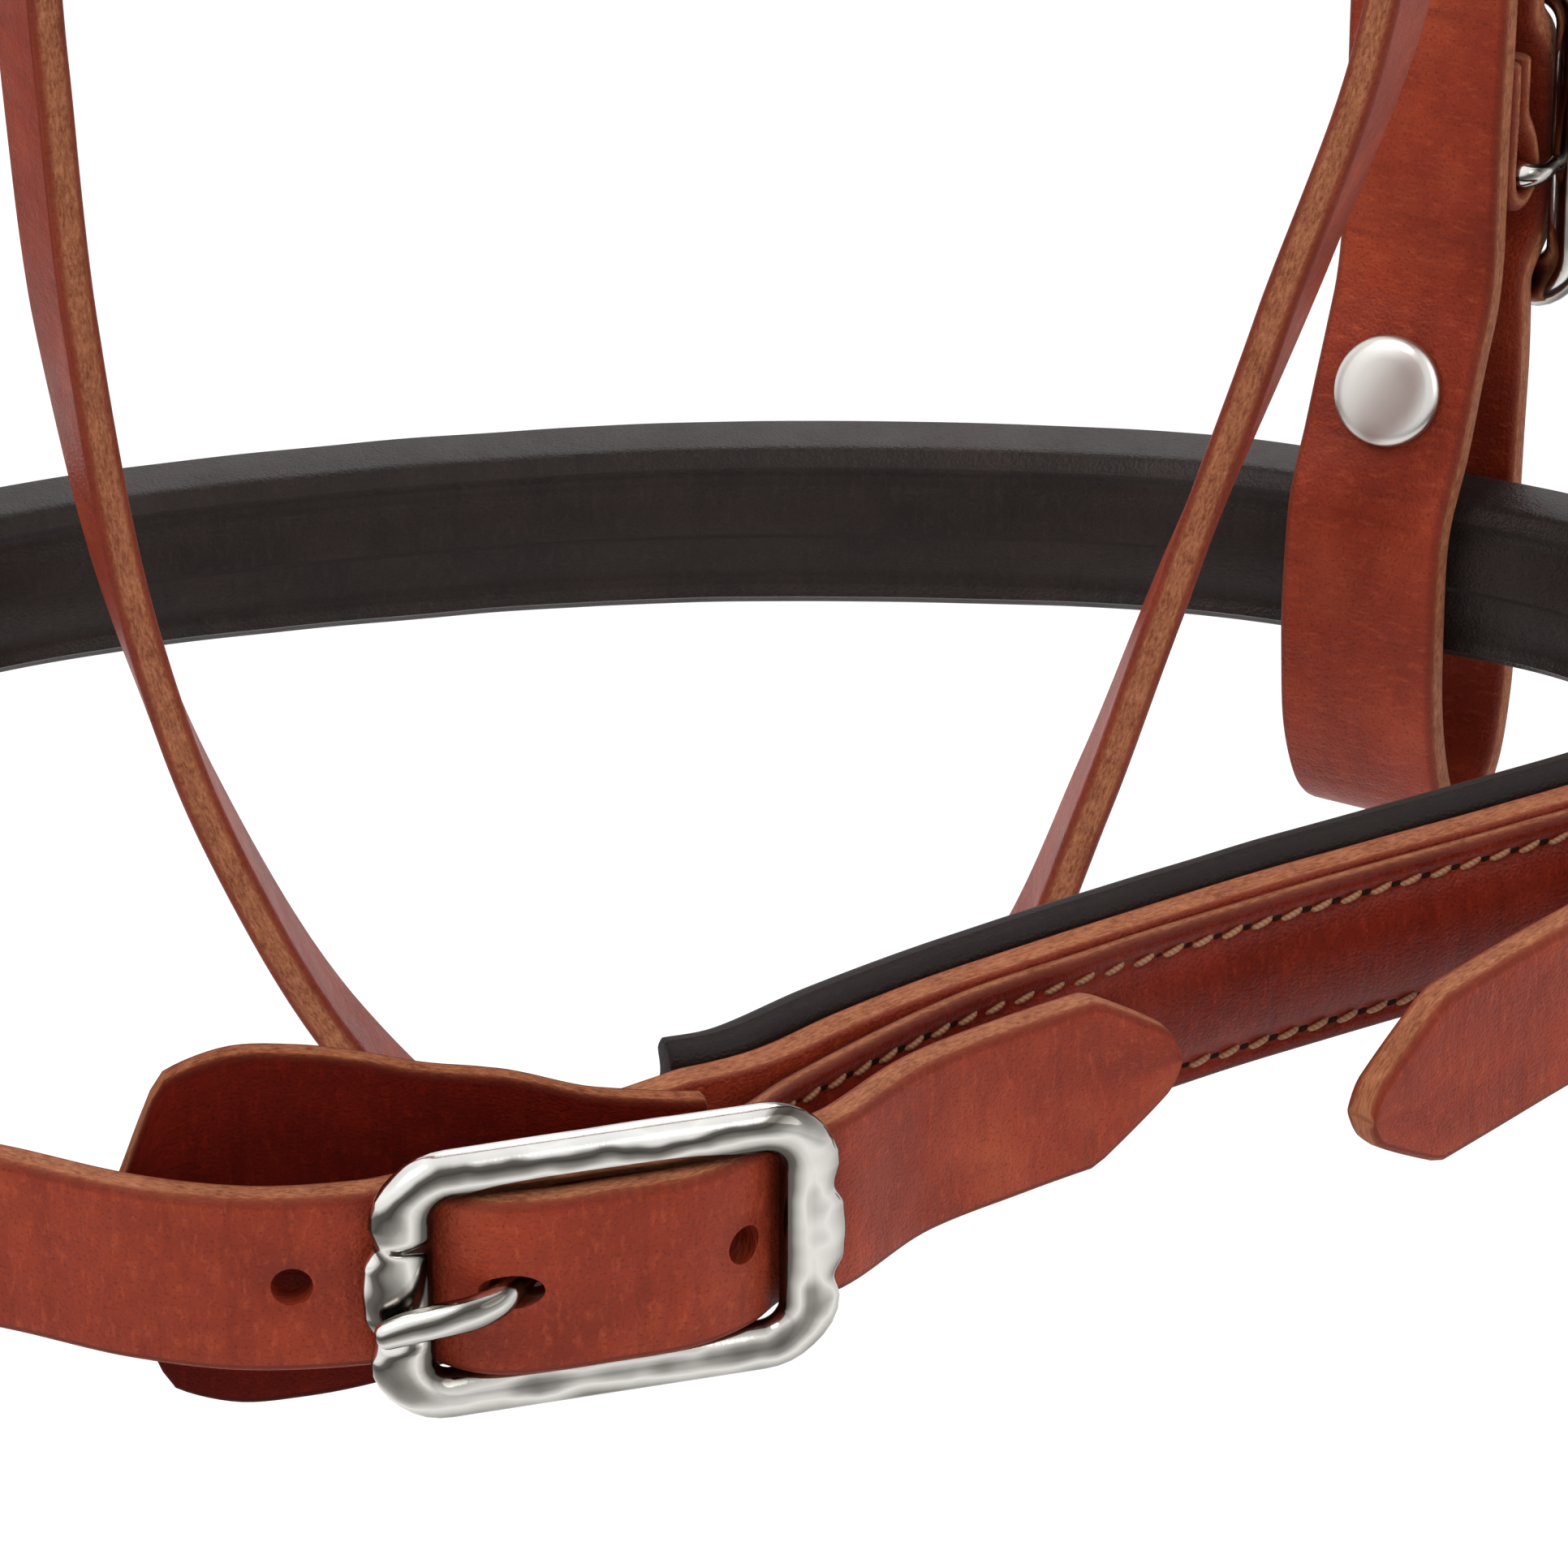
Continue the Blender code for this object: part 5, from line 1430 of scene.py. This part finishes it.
def cheek_route(side):
    """Middle line of a cheek strap, top end first."""
    base = cheek_place(side)
    top = Vector((side * (UPPER_BAR_OUT - BACKING_DROP), CHEEK_TAIL_FORWARD, 0))
    low = base.at(0, 0, LOOP_SHARES[0][0] * LOOP_BOTTOM)
    low.z = 0
    start = SAFE_LENGTH - UPPER_BUCKLE_DROP
    control = [top + UP * (start + (-TWIST_END_DROP - start) * share) for share in (0.0, 0.3, 0.6, 0.85, 1.0)]
    for share in (0.25, 0.5, 0.75, 1.0):
        drop = TWIST_END_DROP + (TWIST_START_DROP - TWIST_END_DROP) * share
        control.append(top.lerp(low, ease(share)) - UP * drop)
    control += [base.at(-rise * LOOP_BOTTOM, 0, out * LOOP_BOTTOM) for out, rise in LOOP_SHARES]
    buckle_at = loop_buckle_place(side)
    control += hump_points(buckle_at, SMALL)
    control += tip_points(buckle_at, LOOP_TIP)
    points = smooth(control)
    return Route(points, [strap_side(side, -point.z) for point in points])


def run_at_screw(base, route, share):
    """A run's middle point at the screw and the direction out of its face."""
    distance = route.nearest(base.at(-SCREW_RISE, 0, share * LOOP_BOTTOM))
    point, direction, side, normal = route.at(distance)
    return point, normal if normal.dot(base.out) > 0 else -normal


def tip_points(place, tip):
    """The free end of a strap below a small buckle."""
    last = -SMALL_CHAPE_SIDE - FRAME_RADIUS
    return [place.at(last - tip / 2, 0, TUCK), place.at(last - tip, 0, TUCK)]


def screw_profile(radius, height, shares):
    return [(radius * share, height * rise) for share, rise in shares]


def loop_screw(label, side, route):
    """A plain domed head inside and a slotted back outside, with their shank. Returns the room for it."""
    base = cheek_place(side)
    inner, inward = run_at_screw(base, route, SCREW_RUN_SHARES[0])
    outer, outward = run_at_screw(base, route, SCREW_RUN_SHARES[1])
    axis = (outer - inner).normalized()
    profile = screw_profile(SCREW_HEAD_RADIUS, SCREW_HEAD_HEIGHT, SCREW_HEAD_SHARES)
    head = turned(f"loop_screw_{label}", profile, inner - inward * (THICK / 2 + CLEAR), -inward)
    start = inner - axis * (THICK / 2 + CLEAR + SCREW_HEAD_HEIGHT / 2)
    shank = round_bar(f"loop_shank_{label}", start, outer + axis * THICK / 4, SCREW_SHANK_RADIUS)
    fit(smooth_edges(join([head, shank])), DULL_NICKEL, f"loop_screw_{label}")
    back = outer + outward * (THICK / 2 + CLEAR * 2)
    profile = screw_profile(SCREW_BACK_RADIUS, SCREW_BACK_HEIGHT, SCREW_BACK_SHARES)
    washer = turned(f"loop_screw_back_{label}", profile, back, outward)
    groove = Place(back + outward * SCREW_BACK_HEIGHT, base.along.cross(outward), outward)
    reach = SCREW_BACK_RADIUS * SLOT_REACH_SHARE
    low = (-reach, -SLOT_HALF, -SLOT_DEPTH)
    cut(washer, block(f"driver_slot_{label}", groove, low, (reach, SLOT_HALF, SLOT_DEPTH)))
    fit(smooth_edges(washer), NICKEL, f"loop_screw_back_{label}")
    through = axis * THICK
    return round_bar(f"screw_room_{label}", inner - through, outer + through, SCREW_SHANK_RADIUS + CLEAR)


def cheek(label, side):
    """One cheek: the strap round the noseband, its buckle, chape and screw."""
    route = cheek_route(side)
    place = loop_buckle_place(side)
    cutters = [prong_cutter(f"loop_prong_room_{label}", place, SMALL), loop_screw(label, side, route)]
    last = (-SMALL_CHAPE_SIDE - LOOP_TIP / 2, -SMALL_CHAPE_SIDE - LOOP_TIP)
    holes = [route.nearest(place.at(along + TIP_LENGTH, 0, TUCK)) for along in last]
    outward = route.sign((route.points[0], Vector((side, 0, 0))))
    item = strap(f"cheek_strap_leather_{label}", route, CHEEK_WIDTH, THICK, outward, tips=(0, TIP),
                 holes=holes, cutters=cutters, seed=7.5 + side)
    fit(item, CHESTNUT, f"cheek_strap_{label}")
    chape(f"loop_chape_{label}", place, CHEEK_WIDTH - SKIVE)
    buckle(f"loop_buckle_{label}", place, CHEEK_WIDTH, SMALL)
    prong(f"loop_prong_{label}", place, SMALL)


# Crown, browband and throatlatch


def upper_place(side, use):
    """A crown buckle's frame: the prong points up and the face looks outwards."""
    drop, forward = UPPER_BUCKLES[use]
    return Place((side * UPPER_BAR_OUT, forward, -drop), UP, (side, 0, 0))


def keeper(name, place, strap_width):
    """A rounded leather loop round the backing strap and the tail's tip."""
    along = KEEPER_WIDTH / 2 - KEEPER_END
    low = -BACKING_DROP - THICK / 2 - KEEPER_PLAY
    high = TUCK + THICK / 2 + KEEPER_PLAY
    half_flat = strap_width / 2 + KEEPER_PLAY + KEEPER_THICK / 2
    half_tall = (high - low) / 2 + KEEPER_THICK / 2
    turn = KEEPER_THICK * 1.5
    half_wall = KEEPER_THICK / 2
    centre = place.at(along, 0, (low + high) / 2)
    frames = []
    for sign_flat, sign_tall, start in ((1, 1, 0), (-1, 1, 90), (-1, -1, 180), (1, -1, 270)):
        corner = place.across * (sign_flat * (half_flat - turn))
        corner += place.out * (sign_tall * (half_tall - turn))
        for step in range(9):
            angle = math.radians(start + 90 * step / 8)
            lean = place.across * math.cos(angle) + place.out * math.sin(angle)
            frames.append((centre + corner + lean * turn, lean, place.along, half_wall, half_wall,
                           KEEPER_WIDTH / 2))
    fit(ring_form(name, frames, 32, 4.0), CHESTNUT, name)


def tail_route(place, tip):
    """A crown tail from inside the crown down through its buckle."""
    start = Vector((place.at(0, 0, TUCK).x, place.origin.y, -CROWN_END_DROP + TAIL_LAP))
    buckle_top = place.at(SMALL_PRONG_SIDE + FRAME_RADIUS, 0, TUCK)
    control = [start, start.lerp(buckle_top, 0.35), start.lerp(buckle_top, 0.75)]
    return Route(smooth(control + hump_points(place, SMALL) + tip_points(place, tip)), FORWARD)


def crown():
    """The crown with its four tails, cut from one piece of leather."""
    centre = Vector((0, 0, -CROWN_RADIUS))
    points = [Vector((CROWN_MIDDLE, 0, -CROWN_END_DROP))]
    for step in range(49):
        angle = math.pi * step / 48
        points.append(centre + Vector((CROWN_MIDDLE * math.cos(angle), 0, CROWN_MIDDLE * math.sin(angle))))
    points.append(Vector((-CROWN_MIDDLE, 0, -CROWN_END_DROP)))
    pieces = [strap("crown_leather", Route(smooth(points, 4), FORWARD), CROWN_WIDTH, THICK, -1, seed=8.5)]
    for label, side in SIDES:
        for use, (width, tip, steps) in CROWN_TAILS.items():
            place = upper_place(side, use)
            route = tail_route(place, tip)
            middle = route.nearest(place.at(HUMP, 0, HUMP))
            outward = route.sign((route.points[0], Vector((side, 0, 0))))
            pieces.append(strap(f"{use}_tail_{label}", route, width, THICK - SKIVE, outward, tips=(0, TIP),
                                holes=[middle + step * HOLE_PITCH for step in steps],
                                cutters=[prong_cutter(f"{use}_room_{label}", place, SMALL)],
                                seed=9.5 + side + UPPER_BUCKLES[use][0]))
    fit(join(pieces), CHESTNUT, "crown")


def crown_hardware():
    """Each crown buckle with its prong, chape and keeper."""
    for label, side in SIDES:
        for use, width in BACKING_WIDTHS.items():
            place = upper_place(side, use)
            buckle(f"{use}_buckle_{label}", place, width, SMALL)
            prong(f"{use}_prong_{label}", place, SMALL)
            chape(f"{use}_chape_{label}", place, width - SKIVE)
            keeper(f"{use}_keeper_{label}", place, width)


def browband():
    """A strip across the forehead, folded back round the crown's tails at both ends."""
    half = [Vector((side * CROWN_MIDDLE, front * CROWN_MIDDLE, -BROW_DROP)) for side, front in BROW_SHARES]
    mirrored = [Vector((-point.x, point.y, point.z)) for point in reversed(half[:-1])]
    route = Route(smooth(half + mirrored), UP)
    outward = route.sign((half[-1], FORWARD))
    item = strap("browband_leather", route, BROW_WIDTH, BROW_THICK, outward, seed=11.5)
    fit(item, CHESTNUT, "browband")


def spread(values, steps):
    """Even steps between neighbouring values, as many as a smoothed route has points."""
    result = []
    for low, high in zip(values, values[1:]):
        result += [low + (high - low) * step / steps for step in range(steps)]
    return result + [values[-1]]


def throat_strap():
    """The throatlatch hanging as a flared U between its two buckles, behind the cheeks."""
    control = []
    flares = []
    for side in (-1, 1):
        top = side * (UPPER_BAR_OUT - BACKING_DROP)
        drops = [THROAT_BUCKLE_DROP - SAFE_LENGTH, THROAT_BUCKLE_DROP, THROAT_BUCKLE_DROP + KEEPER_END]
        if side > 0:
            drops.reverse()
            control += [Vector((across * THROAT_HALF, -THROAT_TAIL_BACK, rise * THROAT_BELOW - RING_DROP))
                        for across, rise, flare in THROAT_SHARES]
            flares += [math.radians(math.copysign(flare, across)) for across, rise, flare in THROAT_SHARES]
        control += [Vector((top, -THROAT_TAIL_BACK, -drop)) for drop in drops]
        flares += [0.0] * len(drops)
    sides = [Vector((math.sin(flare), math.cos(flare), 0)) for flare in spread(flares, ROUTE_STEPS)]
    route = Route(smooth(control), sides)
    item = strap("throat_strap_leather", route, THROAT_WIDTH, THICK, -1, seed=12.5)
    fit(item, CHESTNUT, "throat_strap")


# Camera and room


def aim(item, place, direction):
    """Put a camera or lamp at a place, looking along a direction."""
    item.location = place
    item.rotation_mode = "QUATERNION"
    item.rotation_quaternion = direction.to_track_quat("-Z", "Y")


def camera():
    azimuth = math.radians(CAMERA_AZIMUTH_DEG)
    rise = math.radians(CAMERA_ELEVATION_DEG)
    back = Vector((math.sin(azimuth) * math.cos(rise), -math.cos(azimuth) * math.cos(rise), math.sin(rise)))
    data = bpy.data.cameras.new("camera")
    data.sensor_width = SENSOR
    data.lens = FOCAL_PIXELS / IMAGE_PIXELS * SENSOR
    data.clip_start = 0.01
    data.clip_end = 100.0
    item = add_item("camera", data)
    aim(item, CAMERA_PLACE, -back)
    bpy.context.scene.camera = item


def lamp(name, place, target, size, power):
    data = bpy.data.lights.new(name, "AREA")
    data.shape = "DISK"
    data.size = size
    data.energy = power
    aim(add_item(name, data), place, Vector(target) - Vector(place))


def seen_ray(tree):
    """One for rays that come from the camera, a glossy face or a clear one."""
    rays = add_node(tree, "ShaderNodeLightPath")
    seen = maths(tree, "MAXIMUM", rays.outputs["Is Camera Ray"], rays.outputs["Is Glossy Ray"])
    return maths(tree, "MAXIMUM", seen, rays.outputs["Is Transmission Ray"])


def floor():
    """A pale floor that keeps the object's soft shadow."""
    mesh = bpy.data.meshes.new("floor")
    half = FLOOR_SIZE / 2
    corners = ((-half, -half), (half, -half), (half, half), (-half, half))
    mesh.from_pydata([(across, along, -FLOOR_DROP) for across, along in corners], [], [(0, 1, 2, 3)])
    item = add_item("floor", mesh)
    material, tree, shader = new_material("pale_floor")
    set_inputs(tree, shader, {"Base Color": (0.80, 0.80, 0.80, 1.0), "Roughness": 0.9})
    glow = add_node(tree, "ShaderNodeEmission", Strength=maths(tree, "MULTIPLY", seen_ray(tree), FLOOR_GLOW))
    total = add_node(tree, "ShaderNodeAddShader")
    set_inputs(tree, total, {0: shader.outputs["BSDF"], 1: glow.outputs["Emission"]})
    set_inputs(tree, tree.nodes["Material Output"], {"Surface": total.outputs["Shader"]})
    item.data.materials.append(material)


def world():
    """White where the camera, glossy and clear rays meet it, and a soft level for the rest."""
    place = bpy.data.worlds.new("room")
    bpy.context.scene.world = place
    place.use_nodes = True
    tree = place.node_tree
    back = tree.nodes["Background"]
    set_inputs(tree, back, {"Strength": AMBIENT, "Color": WHITE})
    plain = add_node(tree, "ShaderNodeBackground", Strength=1.0, Color=WHITE)
    mix = add_node(tree, "ShaderNodeMixShader", Fac=seen_ray(tree))
    set_inputs(tree, mix, {1: back.outputs["Background"], 2: plain.outputs["Background"]})
    set_inputs(tree, tree.nodes["World Output"], {"Surface": mix.outputs["Shader"]})


def room():
    camera()
    floor()
    world()
    for name, place, size, power in LAMPS:
        lamp(name, place, LAMP_TARGET, size, power)
    bpy.context.scene.view_settings.view_transform = "Standard"


nose_strap()
nose_padding()
chin_padding()
chin_cover()
chin_hardware()
for side_label, side_sign in SIDES:
    cheek(side_label, side_sign)
crown()
crown_hardware()
browband()
throat_strap()
room()
